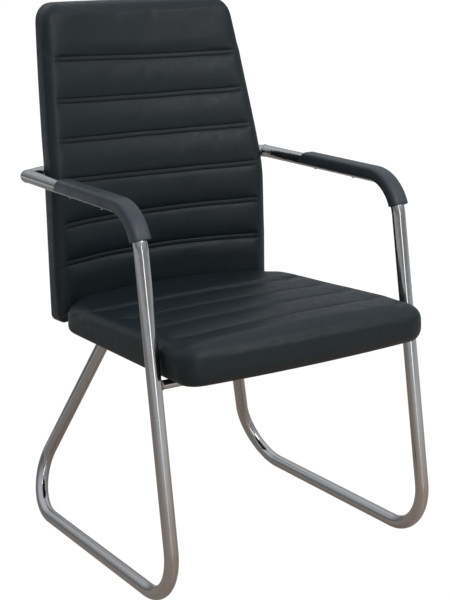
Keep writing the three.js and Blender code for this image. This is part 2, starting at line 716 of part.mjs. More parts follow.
// Layers are listed from the rear face to the front face, so that the slab faces out.
function backCushion() {
  const body = slab(
    cushionColumns(backPlan.halfWidth, BACK_EDGE_RADIUS),
    backRows(),
    cushionRings,
    (shareX, shareY, inset, level) => {
      const { x, y: z } = roundedPlan(backPlan, inset, shareX, shareY);
      return at(x * backTaper(z), THREE.MathUtils.lerp(backRearY(x, z), backFrontY(x, z), level), z);
    },
  );
  const depth = REAR_COVER_THICKNESS + MESH_GAP + BACK_BOARD_THICKNESS + NUT_ROOM + MESH_GAP;
  return cut(body, backLayer(BOARD_RIM - BOARD_CLEARANCE, -CUT_OVERRUN, depth));
}

// A few rows up to the bend, rows close together through it, and a few up to the top.
function backLayerRows() {
  const { start, end } = backBend();
  const low = BACK_BOTTOM_Z + BOARD_RIM;
  const high = BACK_TOP_Z - BOARD_RIM;
  const places = [
    ...BACK_LAYER_LOW_SHARES.map((share) => THREE.MathUtils.lerp(low, start, share)),
    ...BACK_LAYER_BEND_SHARES.map((share) => THREE.MathUtils.lerp(start, end, share)),
    ...BACK_LAYER_HIGH_SHARES.map((share) => THREE.MathUtils.lerp(end, high, share)),
  ];
  return toShares(places, BACK_BOTTOM_Z, BACK_TOP_Z, BOARD_RIM);
}

// A layer that follows the back's rear face, in from its outline, between two depths under that face.
function backLayer(inset, outerDepth, innerDepth) {
  return slab(BACK_LAYER_COLUMN_SHARES, backLayerRows(), boardRings, (shareX, shareY, _, level) => {
    const { x, y: z } = roundedPlan(backPlan, inset, shareX, shareY);
    return at(x * backTaper(z), backRearY(x, z) - THREE.MathUtils.lerp(outerDepth, innerDepth, level), z);
  });
}

// A bolt place is a point on the back's rear face and the direction in which the bolt goes in.
const strapBoltPlaces = [-1, 1].flatMap((side) => [0, 1].map((index) => {
  const x = side * railX;
  const z = STRAP_BACK_BOLT_Z + index * STRAP_BACK_BOLT_SPACING;
  return { side, index, seat: at(x, backRearY(x, z), z), inward: at(0, -1, 0) };
}));

// The crossbar bolts go in square to the back, which already leans at the crossbar's height.
const barBoltPlaces = [-1, 1].map((side) => {
  const x = side * BACK_BOLT_X;
  const lean = Math.atan((backLean(ARM_REAR_Z + TUBE_DIAMETER) - backLean(ARM_REAR_Z)) / TUBE_DIAMETER);
  const z = ARM_REAR_Z + (ARM_CROSSBAR_Y - backRearY(x, ARM_REAR_Z)) * Math.tan(lean);
  return {
    side,
    bar: at(x, ARM_CROSSBAR_Y, ARM_REAR_Z),
    seat: at(x, backRearY(x, z), z),
    inward: at(0, -Math.cos(lean), Math.sin(lean)),
  };
});
const backBoltPlaces = [...strapBoltPlaces, ...barBoltPlaces];
const backBoardFaceDepth = REAR_COVER_THICKNESS + MESH_GAP;

function boltHole(seat, inward, outside, inside, radius) {
  return rod(
    seat.clone().addScaledVector(inward, -outside),
    seat.clone().addScaledVector(inward, inside),
    radius,
    FASTENER_SIDES,
  );
}

function backHoles(radius) {
  const depth = backBoardFaceDepth + BACK_BOARD_THICKNESS + CUT_OVERRUN;
  return backBoltPlaces.map(({ seat, inward }) => boltHole(seat, inward, CUT_OVERRUN, depth, radius));
}

function backBoard() {
  const layer = backLayer(BOARD_RIM, backBoardFaceDepth, backBoardFaceDepth + BACK_BOARD_THICKNESS);
  return cut(layer, ...backHoles(nutHoleRadius));
}

function rearCover() {
  return cut(backLayer(BOARD_RIM, 0, REAR_COVER_THICKNESS), ...backHoles(boltHoleRadius));
}

// Plates and straps
function seatPlate(side) {
  const plate = new THREE.BoxGeometry(PLATE_WIDTH, PLATE_LENGTH, PLATE_THICKNESS)
    .translate(side * railX, FRONT_PLATE_Y, SEAT_BOTTOM_Z + PLATE_THICKNESS / 2);
  return cut(plate, ...verticalHoles(boltHoleRadius));
}

// The strap's side profile: under the seat board, cranked down, under the back and up behind it.
function strapSide() {
  const top = plateTopZ;
  const underBackTop = BACK_BOTTOM_Z - STRAP_UNDER_BACK_GAP;
  const crankEndY = strapCrankEndY();
  const crankStartY = crankEndY - STRAP_CRANK_LENGTH;
  const frontFaceY = strapFaceY();
  const rearFaceY = frontFaceY + PLATE_THICKNESS;
  return new THREE.Shape([
    new THREE.Vector2(STRAP_SEAT_END_Y, top),
    new THREE.Vector2(STRAP_SEAT_END_Y, top - PLATE_THICKNESS),
    new THREE.Vector2(crankStartY, top - PLATE_THICKNESS),
    new THREE.Vector2(crankEndY, underBackTop - PLATE_THICKNESS),
    new THREE.Vector2(rearFaceY, underBackTop - PLATE_THICKNESS),
    new THREE.Vector2(rearFaceY, underBackTop + STRAP_RISE),
    new THREE.Vector2(frontFaceY, underBackTop + STRAP_RISE),
    new THREE.Vector2(frontFaceY, underBackTop),
    new THREE.Vector2(crankEndY, underBackTop),
    new THREE.Vector2(crankStartY, top),
  ]);
}

// The strap stands clear of the curved rear face at its inner edge, where that face reaches furthest back.
function strapFaceY() {
  return backRearY(railX - STRAP_BACK_WIDTH / 2, STRAP_BACK_BOLT_Z) + MESH_GAP;
}

// The crank ends inside the seat's pocket, so that the strap passes under the cushion's rim.
function strapCrankEndY() {
  const outerX = railX + STRAP_BACK_WIDTH / 2;
  return seatBowed(seatPlan, outerX, SEAT_REAR_Y) - BOARD_RIM - STRAP_CRANK_CLEARANCE;
}

function strap(side) {
  const profile = new THREE.ExtrudeGeometry(strapSide(), { depth: PLATE_WIDTH, bevelEnabled: false })
    .applyMatrix4(new THREE.Matrix4().makeBasis(at(0, 1, 0), at(0, 0, 1), at(1, 0, 0)))
    .translate(side * railX - PLATE_WIDTH / 2, 0, 0);
  const trimHeight = STRAP_RISE * 2;
  const trimStartY = strapCrankEndY() - STRAP_CRANK_LENGTH;
  const trimDepth = (strapFaceY() - trimStartY) * 2;
  const trims = [-1, 1].map((edge) => new THREE.BoxGeometry(PLATE_WIDTH, trimDepth, trimHeight).translate(
    side * railX + edge * (STRAP_BACK_WIDTH + PLATE_WIDTH) / 2,
    trimStartY + trimDepth / 2,
    BACK_BOTTOM_Z,
  ));
  return cut(profile, ...trims, ...verticalHoles(boltHoleRadius), ...strapHoles(side));
}

function strapHoles(side) {
  const places = strapBoltPlaces.filter((place) => place.side === side);
  return places.map(({ seat, inward }) => boltHole(seat, inward, PLATE_THICKNESS * 3, 0, boltHoleRadius));
}

// A saddle between the back and the arm crossbar, cut to the back's curved face and hollowed to the tube.
function saddle({ bar, seat, inward }) {
  const inner = boltHoleRadius;
  const outer = SADDLE_DIAMETER / 2;
  const length = bar.distanceTo(seat) + REAR_COVER_THICKNESS;
  const ring = new THREE.LatheGeometry([
    new THREE.Vector2(inner, 0),
    new THREE.Vector2(outer, 0),
    new THREE.Vector2(outer, length),
    new THREE.Vector2(inner, length),
    new THREE.Vector2(inner, 0),
  ], TUBE_SIDES);
  const blank = aimed(ring, bar, inward);
  const crossbar = rod(
    bar.clone().setX(bar.x - SADDLE_DIAMETER),
    bar.clone().setX(bar.x + SADDLE_DIAMETER),
    tubeRadius + MESH_GAP,
    TUBE_SIDES,
  );
  return cut(blank, crossbar, backLayer(BOARD_RIM, -MESH_GAP, REAR_COVER_THICKNESS + CUT_OVERRUN));
}

// Fasteners
// A round-headed bolt along +Y: the head is below zero and the shank above.
function boltForm(shank, head, headHeight, reach) {
  const chamfer = headHeight * HEAD_CHAMFER_SHARE;
  return new THREE.LatheGeometry([
    new THREE.Vector2(0, -headHeight),
    new THREE.Vector2(head / 2 - chamfer, -headHeight),
    new THREE.Vector2(head / 2, -headHeight + chamfer),
    new THREE.Vector2(head / 2, 0),
    new THREE.Vector2(shank / 2, 0),
    new THREE.Vector2(shank / 2, reach),
    new THREE.Vector2(0, reach),
  ], FASTENER_SIDES);
}

// A tee nut along +Y: the barrel is below zero and the flange above.
function teeNutForm() {
  const bore = BOLT_DIAMETER / 2 + MESH_GAP;
  return new THREE.LatheGeometry([
    new THREE.Vector2(bore, -NUT_BARREL_LENGTH),
    new THREE.Vector2(NUT_BARREL_DIAMETER / 2, -NUT_BARREL_LENGTH),
    new THREE.Vector2(NUT_BARREL_DIAMETER / 2, 0),
    new THREE.Vector2(NUT_FLANGE_DIAMETER / 2, 0),
    new THREE.Vector2(NUT_FLANGE_DIAMETER / 2, NUT_FLANGE_THICKNESS),
    new THREE.Vector2(bore, NUT_FLANGE_THICKNESS),
    new THREE.Vector2(bore, -NUT_BARREL_LENGTH),
  ], FASTENER_SIDES);
}

function aimed(geometry, seat, direction) {
  const turn = new THREE.Quaternion().setFromUnitVectors(at(0, 1, 0), direction);
  return geometry.applyQuaternion(turn).translate(seat.x, seat.y, seat.z);
}

function sideName(side) {
  return side < 0 ? 'left' : 'right';
}

function addSeatFasteners() {
  const up = at(0, 0, 1);
  for (const { side, offset, x, y } of seatBoltPlaces) {
    const row = y === FRONT_PLATE_Y ? 'front' : 'rear';
    const lateral = side * offset < 0 ? 'inner' : 'outer';
    const place = `${row}_${sideName(side)}_${lateral}`;
    const bolt = boltForm(BOLT_DIAMETER, BOLT_HEAD_DIAMETER, BOLT_HEAD_HEIGHT, BOLT_REACH);
    addPart(`seat_bolt_${place}`, aimed(bolt, at(x, y, SEAT_BOTTOM_Z - MESH_GAP), up), zincPlate);
    addPart(`seat_nut_${place}`, aimed(teeNutForm(), at(x, y, seatBoardTopZ + MESH_GAP), up), zincPlate);
  }
}

function addBackFasteners() {
  const nutDepth = backBoardFaceDepth + BACK_BOARD_THICKNESS + MESH_GAP;
  const addNut = (name, seat, inward) => {
    const outerX = Math.abs(seat.x) + NUT_FLANGE_DIAMETER / 2;
    const bowUnderFlange = backRearY(seat.x, seat.z) - backRearY(outerX, seat.z);
    const nutSeat = seat.clone().addScaledVector(inward, nutDepth + bowUnderFlange);
    addPart(name, aimed(teeNutForm(), nutSeat, inward), zincPlate);
  };
  for (const { side, index, seat, inward } of strapBoltPlaces) {
    const place = `${index === 0 ? 'lower' : 'upper'}_${sideName(side)}`;
    const bolt = boltForm(BOLT_DIAMETER, BOLT_HEAD_DIAMETER, BOLT_HEAD_HEIGHT, BOLT_REACH);
    const headSeat = seat.clone().setY(strapFaceY() + PLATE_THICKNESS + MESH_GAP);
    addPart(`strap_bolt_${place}`, aimed(bolt, headSeat, inward), zincPlate);
    addNut(`back_nut_${place}`, seat, inward);
  }
  for (const { side, bar, seat, inward } of barBoltPlaces) {
    const headSeat = bar.clone().addScaledVector(inward, -tubeRadius - MESH_GAP);
    const reach = headSeat.distanceTo(seat) + backBoardFaceDepth + BACK_BOARD_THICKNESS;
    const bolt = boltForm(BOLT_DIAMETER, BOLT_HEAD_DIAMETER, BOLT_HEAD_HEIGHT, reach);
    addPart(`crossbar_bolt_${sideName(side)}`, aimed(bolt, headSeat, inward), zincPlate);
    addNut(`crossbar_nut_${sideName(side)}`, seat, inward);
  }
}

// Arm pads
// The pad's section, with its open side down: it clips over the tube and leaves the tube's underside bare.
function padSection() {
  const channel = (tubeRadius + MESH_GAP) / Math.cos(Math.PI / TUBE_SIDES);
  const sideReach = tubeRadius + PAD_SIDE_THICKNESS;
  const topReach = tubeRadius + PAD_TOP_THICKNESS;
  const sweepAngle = Math.PI + 2 * PAD_LIP_ANGLE;
  const outline = (reachX, reachY, power) => Array.from({ length: PAD_OUTLINE_STEPS + 1 }, (_, index) => {
    const angle = -PAD_LIP_ANGLE + sweepAngle * index / PAD_OUTLINE_STEPS;
    const across = Math.cos(angle);
    const up = Math.sin(angle);
    return new THREE.Vector2(
      reachX * Math.sign(across) * Math.abs(across) ** power,
      -reachY * Math.sign(up) * Math.abs(up) ** power,
    );
  });
  const outer = outline(sideReach, topReach, PAD_SQUARENESS_SHARE);
  const inner = outline(channel, channel, 1).reverse();
  return new THREE.Shape([...outer, ...inner]);
}

function armPad(side) {
  const rear = armPoint(side, PAD_REAR_Y);
  const corner = at(side * frameX, ARM_FRONT_Y, ARM_FRONT_Z);
  const path = new BentPath([
    { point: rear },
    { point: corner, radius: ARM_BEND_RADIUS, bentShare: PAD_BENT_SHARE },
    { point: at(side * frameX, FLOOR_FRONT_Y, runnerZ) },
  ]);
  const backward = armPoint(side, PAD_REAR_Y).sub(armPoint(side, ARM_FRONT_Y)).normalize();
  const chamferNormal = backward.clone().multiplyScalar(Math.cos(PAD_REAR_CHAMFER))
    .add(at(0, 0, Math.sin(PAD_REAR_CHAMFER)));
  const screwTop = tubeRadius + SCREW_BITE + MESH_GAP;
  return cut(
    sweep(padSection(), path),
    blockBeyond(rear, chamferNormal, TUBE_DIAMETER * 3),
    padScrewHole(side, PAD_SCREW_REAR_Y, 0, screwTop),
    padScrewHole(side, PAD_SCREW_FRONT_Y, 0, screwTop),
  );
}

function padScrew(side, y) {
  const { middle, up } = screwAxis(side, y);
  const seat = middle.clone().addScaledVector(up, -tubeRadius - MESH_GAP);
  const reach = TUBE_DIAMETER + MESH_GAP + SCREW_BITE;
  return aimed(boltForm(SCREW_DIAMETER, SCREW_HEAD_DIAMETER, SCREW_HEAD_HEIGHT, reach), seat, up);
}

// Assembly
for (const side of [-1, 1]) {
  const name = sideName(side);
  addPart(`${name}_side_tube`, sideTube(side), chrome);
  addPart(`${name}_seat_plate`, seatPlate(side), blackSteel);
  addPart(`${name}_back_strap`, strap(side), blackSteel);
  addPart(`${name}_arm_pad`, armPad(side), padPlastic);
  addPart(`${name}_pad_screw_rear`, padScrew(side, PAD_SCREW_REAR_Y), zincPlate);
  addPart(`${name}_pad_screw_front`, padScrew(side, PAD_SCREW_FRONT_Y), zincPlate);
}
barBoltPlaces.forEach((place) => {
  addPart(`${sideName(place.side)}_crossbar_saddle`, saddle(place), blackSteel);
});
addPart('rear_arm_crossbar', rearArmCrossbar(), chrome);
addPart('front_seat_crossbar', frontSeatCrossbar(), chrome);
addPart('rear_seat_crossbar', rearSeatCrossbar(), chrome);
addPart('seat_cushion', seatCushion(), leatherette);
addPart('seat_board', seatBoard(), plywood);
addPart('seat_underside_cover', undersideCover(), liningFabric);
addPart('back_cushion', backCushion(), leatherette);
addPart('back_board', backBoard(), plywood);
addPart('back_rear_cover', rearCover(), leatherette);
addSeatFasteners();
addBackFasteners();

const outerBox = new THREE.Box3().setFromObject(chair);
chair.position.y = -(outerBox.min.y + outerBox.max.y) / 2;

export default chair;
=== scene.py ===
import json
import math
from collections import namedtuple

import bpy
from mathutils import Matrix, Vector, noise


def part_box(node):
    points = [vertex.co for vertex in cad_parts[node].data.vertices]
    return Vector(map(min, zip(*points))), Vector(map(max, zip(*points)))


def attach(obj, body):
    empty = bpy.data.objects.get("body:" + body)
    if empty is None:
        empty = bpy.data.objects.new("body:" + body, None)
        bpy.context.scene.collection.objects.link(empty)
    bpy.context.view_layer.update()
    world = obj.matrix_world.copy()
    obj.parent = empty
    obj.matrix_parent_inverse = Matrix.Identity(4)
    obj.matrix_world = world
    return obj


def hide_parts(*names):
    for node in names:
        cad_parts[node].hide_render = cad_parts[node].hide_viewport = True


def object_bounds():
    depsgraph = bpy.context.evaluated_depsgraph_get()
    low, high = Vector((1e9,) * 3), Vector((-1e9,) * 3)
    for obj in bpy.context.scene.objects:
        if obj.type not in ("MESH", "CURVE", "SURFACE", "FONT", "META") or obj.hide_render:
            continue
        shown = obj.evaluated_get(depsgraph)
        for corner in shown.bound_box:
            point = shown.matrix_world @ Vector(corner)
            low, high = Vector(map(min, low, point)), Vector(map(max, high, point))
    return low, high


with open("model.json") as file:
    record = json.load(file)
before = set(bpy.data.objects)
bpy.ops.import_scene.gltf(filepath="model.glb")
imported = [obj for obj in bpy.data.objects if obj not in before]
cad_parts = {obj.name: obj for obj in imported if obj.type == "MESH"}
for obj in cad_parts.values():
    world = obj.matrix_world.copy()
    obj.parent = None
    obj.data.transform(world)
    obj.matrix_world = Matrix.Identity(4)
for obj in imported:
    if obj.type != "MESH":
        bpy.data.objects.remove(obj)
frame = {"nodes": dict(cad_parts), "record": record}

MM = 0.001
cad_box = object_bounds()
nodes = frame["nodes"]

X_AXIS = Vector((1, 0, 0))
Z_AXIS = Vector((0, 0, 1))
SMOOTH_ANGLE = math.radians(40)

# The chair was drawn with the front of its seat at this place
DRAWN_FRONT_Y = -350 * MM
ORIGIN_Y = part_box("seat_cushion")[0].y - DRAWN_FRONT_Y

# Frame tube
TUBE_RADIUS = 12.5 * MM
TUBE_SIDES = 48
BEND_STEP = math.radians(4)
FRAME_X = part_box("right_side_tube")[1].x - TUBE_RADIUS
RUNNER_Z = TUBE_RADIUS
FLOOR_FRONT_Y = ORIGIN_Y - 320.3 * MM
FLOOR_REAR_Y = ORIGIN_Y + 303.3 * MM
ARM_FRONT = (ORIGIN_Y - 233.2 * MM, 674.3 * MM)
ARM_REAR = (ORIGIN_Y + 204.2 * MM, 685 * MM)
ARM_BEND = 76 * MM
FLOOR_FRONT_BEND = 90 * MM
FLOOR_REAR_BEND = 85 * MM
RAIL_BEND = 60 * MM
RAIL_X = 132.11 * MM
RAIL_REAR_Y = ORIGIN_Y + 143.68 * MM
RAIL_Z = 387.2 * MM
CROSSBAR_CORNER = (220 * MM, ORIGIN_Y + 236 * MM)
CROSSBAR_BEND = 60 * MM
SEAT_BAR_RADIUS = 8 * MM
SEAT_BAR_Z = 390 * MM
SEAT_BAR_Y = (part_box("front_seat_crossbar")[0].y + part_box("front_seat_crossbar")[1].y) / 2
REAR_BAR_Y = (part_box("rear_seat_crossbar")[0].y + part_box("rear_seat_crossbar")[1].y) / 2
CRINKLE_LOW_Z = 575 * MM
CRINKLE_HIGH_Z = 630 * MM
JOINT_GAP = 0.3 * MM
TRIM_REACH = 60 * MM
MERGE_REACH = 0.01 * MM

# Weld beads
BEAD_RADIUS = 1.4 * MM
BEAD_PITCH = 2.6 * MM
BEAD_SEGMENTS = 120
BEAD_SIDES = 10
BEAD_RIPPLE = 0.12
BEAD_UNEVENNESS = 0.2
BEAD_UNEVEN_SCALE = 8 * MM
BEAD_SUNK_SHARE = 0.5

# Arm pads
PAD_SIDE = 4.5 * MM
PAD_TOP = 5 * MM
PAD_REAR_Y = ORIGIN_Y + 56 * MM
PAD_BENT_SHARE = 0.83
PAD_LIP = math.radians(3)
PAD_REAR_CHAMFER = math.radians(35)
PAD_SQUARENESS = 0.5
PAD_OUTLINE_STEPS = 36
PAD_EDGE = 1.2 * MM
PAD_EDGE_SEGMENTS = 3
PAD_EDGE_ANGLE = math.radians(45)

# Seams of both cushions: two stitched rows side by side
STITCH_OFFSET = 4.5 * MM
STITCH_HALF_WIDTH = 1.0 * MM
STITCH_DEPTH = 1.5 * MM
SEAM_DEPTH = 2.6 * MM
SEAM_FLOOR = 5.2 * MM
SEAM_HALF_WIDTH = 14 * MM
SEAM_WANDER = 0.9 * MM
SEAM_WANDER_SCALE = 70 * MM
SEAM_WANDER_SEED = 90
SEAM_TIGHTNESS = 0.25
SEAM_TIGHTNESS_SCALE = 28 * MM
PANEL_PUFF = 1.3 * MM
SLACK = 0.6 * MM
SLACK_SCALE = 60 * MM
SEAM_FADE = 34 * MM

# Grid lines and edge rings of both cushions
TOP_RING = 7 * MM
COLUMN_PITCH = 11 * MM
ROW_PITCH = 11 * MM
SEAM_LINES = [offset * MM for offset in (0, 2.2, 3.5, 4.1, 4.5, 4.9, 5.6, 7, 9.5, 13)]
EDGE_LINES = 6
EDGE_LINES_REACH = 1.5
LOWER_EDGE_STEPS = 5
POCKET_RIM = 13 * MM
UPPER_EDGE_SHARES = (0, 0.04, 0.15, 0.35, 0.65, 1)

# Seat cushion
seat_low, seat_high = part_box("seat_cushion")
SEAT_FRONT_Y = seat_low.y
SEAT_REAR_BOW = 44 * MM
SEAT_FRONT_BOW = 4 * MM
SEAT_REAR_Y = seat_high.y - SEAT_REAR_BOW
SEAT_BOTTOM_Z = seat_low.z
SEAT_TOP_FRONT_Z = 466 * MM
SEAT_TOP_REAR_Z = 446 * MM
SEAT_CROWN = 6 * MM
SEAT_SIDE_SWELL = 2.5 * MM
SEAT_SIDE_EDGE = 16 * MM
SEAT_FRONT_EDGE = 27 * MM
SEAT_BOTTOM_EDGE = 10 * MM
SEAT_FRONT_BOTTOM_EDGE = 29 * MM
SEAT_FRONT_ROUND = 95 * MM
SEAT_FRONT_SAG = 4 * MM
SEAT_FRONT_DEEPEST_SAG = 10 * MM
SEAT_DEEPEST_SHARE = -0.3
SEAT_SEAM_FADE = 62 * MM
SEAT_SEAM_PITCH = 93 * MM
SEAT_FRONT_CORNER = 38 * MM
SEAT_REAR_CORNER = 75 * MM
POCKET_HEADROOM = 3.3 * MM
SEAT_POCKET_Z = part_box("seat_board")[1].z + POCKET_HEADROOM

# Back cushion
back_low, back_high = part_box("back_cushion")
BACK_FRONT_Y = ORIGIN_Y + 151 * MM
BACK_TOP_WIDTH = 408 * MM
BACK_TAPER_START_Z = 640 * MM
BACK_TAPER_POWER = 1.3
BACK_RECLINE_START_Z = 668 * MM
BACK_RECLINE = math.radians(12.6)
BACK_RECLINE_RADIUS = 350 * MM
BACK_EDGE_THICKNESS = 57 * MM
BACK_HOLLOW_BOTTOM = 45 * MM
BACK_HOLLOW_TOP = 21 * MM
BACK_REAR_BOW = 9 * MM
BACK_EDGE = 18 * MM
BACK_REAR_EDGE = 8 * MM
BACK_SEAM_PITCH = 75 * MM
BACK_BOTTOM_CORNER = 15 * MM
BACK_TOP_CORNER = 38 * MM
BACK_POCKET = 16.6 * MM
REAR_COVER_THICKNESS = 4 * MM
REAR_COVER_STEPS = 24
REAR_COVER_EDGE_STEPS = 3
BOARD_RIM = 14 * MM

# Where each seam runs at its left end, in its middle and at its right end
Seam = namedtuple("Seam", "left middle right")
SEAT_SEAMS = [Seam(*[ORIGIN_Y + y * MM for y in ys])
              for ys in ((-266, -255, -236), (-166, -162, -142), (-72, -69, -64), (24, 24, 34))]
BACK_SEAMS = [Seam(*[z * MM for z in zs])
              for zs in ((515, 520, 517.5), (588, 592, 593), (675, 668, 669.6), (748.5, 745, 746.5),
                         (823, 817.5, 819.5), (902, 894.5, 894))]

# Foam of the cushions, and how they swell
HELD_REACH = 7.28 * MM
SWELL_FRAMES = 20
SWELL_PRESSURE = 4
SWELL_CAP = 3 * MM

# Studio
CEILING_LEVEL = 1.2
BRIGHT_SIDE = (0.55, -0.8, 0.2)
BRIGHT_WALL_LEVEL = 0.42
DIM_WALL_LEVEL = 0.1
SHINY_WHITE_SHARE = 0.15
FLOOR_WHITE_SHARE = 0.88
FLOOR_WHITE = 1.13
# How far the floor's painted shade reaches as it fades from dark to pale
FLOOR_SHADE_FADE = 1.6
FLOOR_WARM_FROM = 0.5
FLOOR_WARM_TO = 2.6
FLOOR_PALE_FROM = 2.8
FLOOR_PALE_TO = 3.6
FLOOR_SIZE = 60

# Camera, as fitted to the photograph
IMAGE_WIDTH = 450
IMAGE_HEIGHT = 600
FOCAL_PIXELS = 1406.57
PRINCIPAL_X_PIXELS = 229.77
PRINCIPAL_Y_PIXELS = 228.33
CAMERA_PLACE = Vector((-1316.07 * MM, ORIGIN_Y - 2238.81 * MM, 1075.34 * MM))
CAMERA_YAW = math.radians(31.42)
CAMERA_PITCH = math.radians(10.77)
CAMERA_ROLL = math.radians(-1.49)
SENSOR = 36


# Selecting, naming and placing

def take(piece):
    """Makes one object the only selected one, and the active one."""
    bpy.ops.object.select_all(action="DESELECT")
    piece.select_set(True)
    bpy.context.view_layer.objects.active = piece


def dress(piece, name, material, slot, *replaced):
    """Names a finished piece, gives it its material and lets it ride on the chair."""
    piece.name = name
    piece.data.name = name
    piece.data.materials.clear()
    piece.data.materials.append(material)
    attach(piece, "root")
    if replaced:
        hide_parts(*replaced)
    return piece


def smooth(piece):
    take(piece)
    bpy.ops.object.shade_smooth_by_angle(angle=SMOOTH_ANGLE)


def apply_modifier(piece, kind, **settings):
    """Adds a modifier, sets it up and applies it."""
    take(piece)
    modifier = piece.modifiers.new(kind.lower(), kind)
    for key, value in settings.items():
        setattr(modifier, key, value)
    bpy.ops.object.modifier_apply(modifier=modifier.name)


# Materials

def linear(hex_colour):
    """Turns an sRGB hex colour into linear values."""
    channels = [int(hex_colour[place:place + 2], 16) / 255 for place in (1, 3, 5)]
    return [c / 12.92 if c <= 0.04045 else ((c + 0.055) / 1.055) ** 2.4 for c in channels] + [1]


def add_node(tree, kind, settings=None, values=None, links=None):
    """Adds one node, with its settings, its sockets' values and its links."""
    node = tree.nodes.new(kind)
    for key, value in (settings or {}).items():
        setattr(node, key, value)
    for key, value in (values or {}).items():
        node.inputs[key].default_value = value
    for key, source in (links or {}).items():
        tree.links.new(source, node.inputs[key])
    return node


def new_material(name, **values):
    """A material with a Principled shader whose plain values are set on its own sockets."""
    material = bpy.data.materials.new(name)
    material.use_nodes = True
    shader = material.node_tree.nodes["Principled BSDF"]
    for key, value in values.items():
        shader.inputs[key.replace("_", " ")].default_value = value
    return material, material.node_tree, shader


def object_place(tree):
    return add_node(tree, "ShaderNodeTexCoord").outputs["Object"]


def lumps(tree, place, size, detail):
    """Noise with lumps of about a given size."""
    return add_node(tree, "ShaderNodeTexNoise", None, {"Scale": 1 / size, "Detail": detail},
                    {"Vector": place}).outputs["Fac"]


def spread(tree, value, low, high):
    """Stretches the usual range of a noise to values between two limits."""
    return add_node(tree, "ShaderNodeMapRange", None,
                    {"From Min": 0.3, "From Max": 0.7, "To Min": low, "To Max": high},
                    {"Value": value}).outputs["Result"]


def raised(tree, height, strength, distance):
    """The normal of a surface that a height raises."""
    return add_node(tree, "ShaderNodeBump", None, {"Strength": strength, "Distance": distance},
                    {"Height": height}).outputs["Normal"]


def two_tones(tree, share, first, second):
    """A mix of two colours by a share."""
    return add_node(tree, "ShaderNodeMix", {"data_type": "RGBA"},
                    {"A": linear(first), "B": linear(second)}, {"Factor": share}).outputs["Result"]


def chrome_plated_tube():
    """Bright nickel chrome plate: a mirror with a faint haze and the slight waviness of drawn tube."""
    material, tree, shader = new_material(
        "chrome_plated_steel_tube", Base_Color=linear("#a3a19f"), Metallic=1, Roughness=0.1)
    place = object_place(tree)
    haze = lumps(tree, place, 22 * MM, 4)
    tree.links.new(spread(tree, haze, 0.07, 0.16), shader.inputs["Roughness"])
    waves = lumps(tree, place, 35 * MM, 1)
    wavy = raised(tree, waves, 0.5, 0.4 * MM)
    tree.links.new(crinkled(tree, place, wavy), shader.inputs["Normal"])
    return material


def crinkled(tree, place, normal):
    """Adds the fine wrinkles that bending left in the tube, from below the arms' front bends upward."""
    height = add_node(tree, "ShaderNodeSeparateXYZ", None, None, {0: place})
    bent = add_node(tree, "ShaderNodeMapRange", {"interpolation_type": "SMOOTHSTEP"},
                    {"From Min": CRINKLE_LOW_Z, "From Max": CRINKLE_HIGH_Z, "To Min": 0, "To Max": 1},
                    {"Value": height.outputs["Z"]})
    stretched = add_node(tree, "ShaderNodeMapping", None, {"Scale": (1, 1, 0.35)}, {"Vector": place})
    crinkles = lumps(tree, stretched.outputs["Vector"], 6 * MM, 1)
    return add_node(tree, "ShaderNodeBump", None, {"Distance": 0.5 * MM},
                    {"Height": crinkles, "Strength": bent.outputs["Result"],
                     "Normal": normal}).outputs["Normal"]


def welded_chrome():
    """Chrome over a weld bead: rippled, so its highlights break up."""
    material, tree, shader = new_material(
        "chrome_plated_weld", Base_Color=linear("#8f8b87"), Metallic=1, Roughness=0.22)
    ripples = lumps(tree, object_place(tree), 2 * MM, 2)
    tree.links.new(raised(tree, ripples, 0.6, 0.3 * MM), shader.inputs["Normal"])
    return material


def pebbled_leatherette():
    """Black polyurethane leatherette: satin, with a fine embossed pebble grain and softer creases."""
    material, tree, shader = new_material(
        "black_pebbled_leatherette", Base_Color=linear("#10181a"), Roughness=0.48, IOR=1.5,
        Specular_IOR_Level=0.25)
    place = object_place(tree)
    # Real grain is about 1 mm; it is drawn at 1.8 mm so that it shows
    pebbles = add_node(tree, "ShaderNodeTexVoronoi", {"feature": "SMOOTH_F1"},
                       {"Scale": 1 / (1.8 * MM), "Smoothness": 0.6}, {"Vector": place})
    creases = lumps(tree, place, 14 * MM, 5)
    tree.links.new(leatherette_tone_and_stitch_shade(tree, place), shader.inputs["Base Color"])
    tree.links.new(spread(tree, creases, 0.42, 0.53), shader.inputs["Roughness"])
    creased = raised(tree, creases, 0.35, 0.6 * MM)
    grain = add_node(tree, "ShaderNodeBump", {"invert": True}, {"Strength": 0.5, "Distance": 0.15 * MM},
                     {"Height": pebbles.outputs["Distance"], "Normal": creased})
    tree.links.new(grain.outputs["Normal"], shader.inputs["Normal"])
    return material


def leatherette_tone_and_stitch_shade(tree, place):
    """A patchy black, with painted shade that darkens it in the two sunk rows of stitches."""
    tone = two_tones(tree, lumps(tree, place, 90 * MM, 2), "#0d1517", "#141d20")
    seam = add_node(tree, "ShaderNodeAttribute", {"attribute_name": "seam_distance"})
    from_stitch = add_node(tree, "ShaderNodeMath", {"operation": "SUBTRACT"}, {1: STITCH_OFFSET},
                           {0: seam.outputs["Fac"]})
    beside = add_node(tree, "ShaderNodeMath", {"operation": "ABSOLUTE"}, None,
                      {0: from_stitch.outputs["Value"]})
    # Painted shade: the colour drops to a quarter along each sunk row of stitches, where shade falls in the
    # groove
    sunk = add_node(tree, "ShaderNodeMapRange", {"interpolation_type": "SMOOTHSTEP"},
                    {"From Min": 0.4 * MM, "From Max": 1.4 * MM, "To Min": 0.25, "To Max": 1},
                    {"Value": beside.outputs["Value"]})
    return add_node(tree, "ShaderNodeMix", {"data_type": "RGBA", "blend_type": "MULTIPLY"}, {"Factor": 1},
                    {"A": tone, "B": sunk.outputs["Result"]}).outputs["Result"]


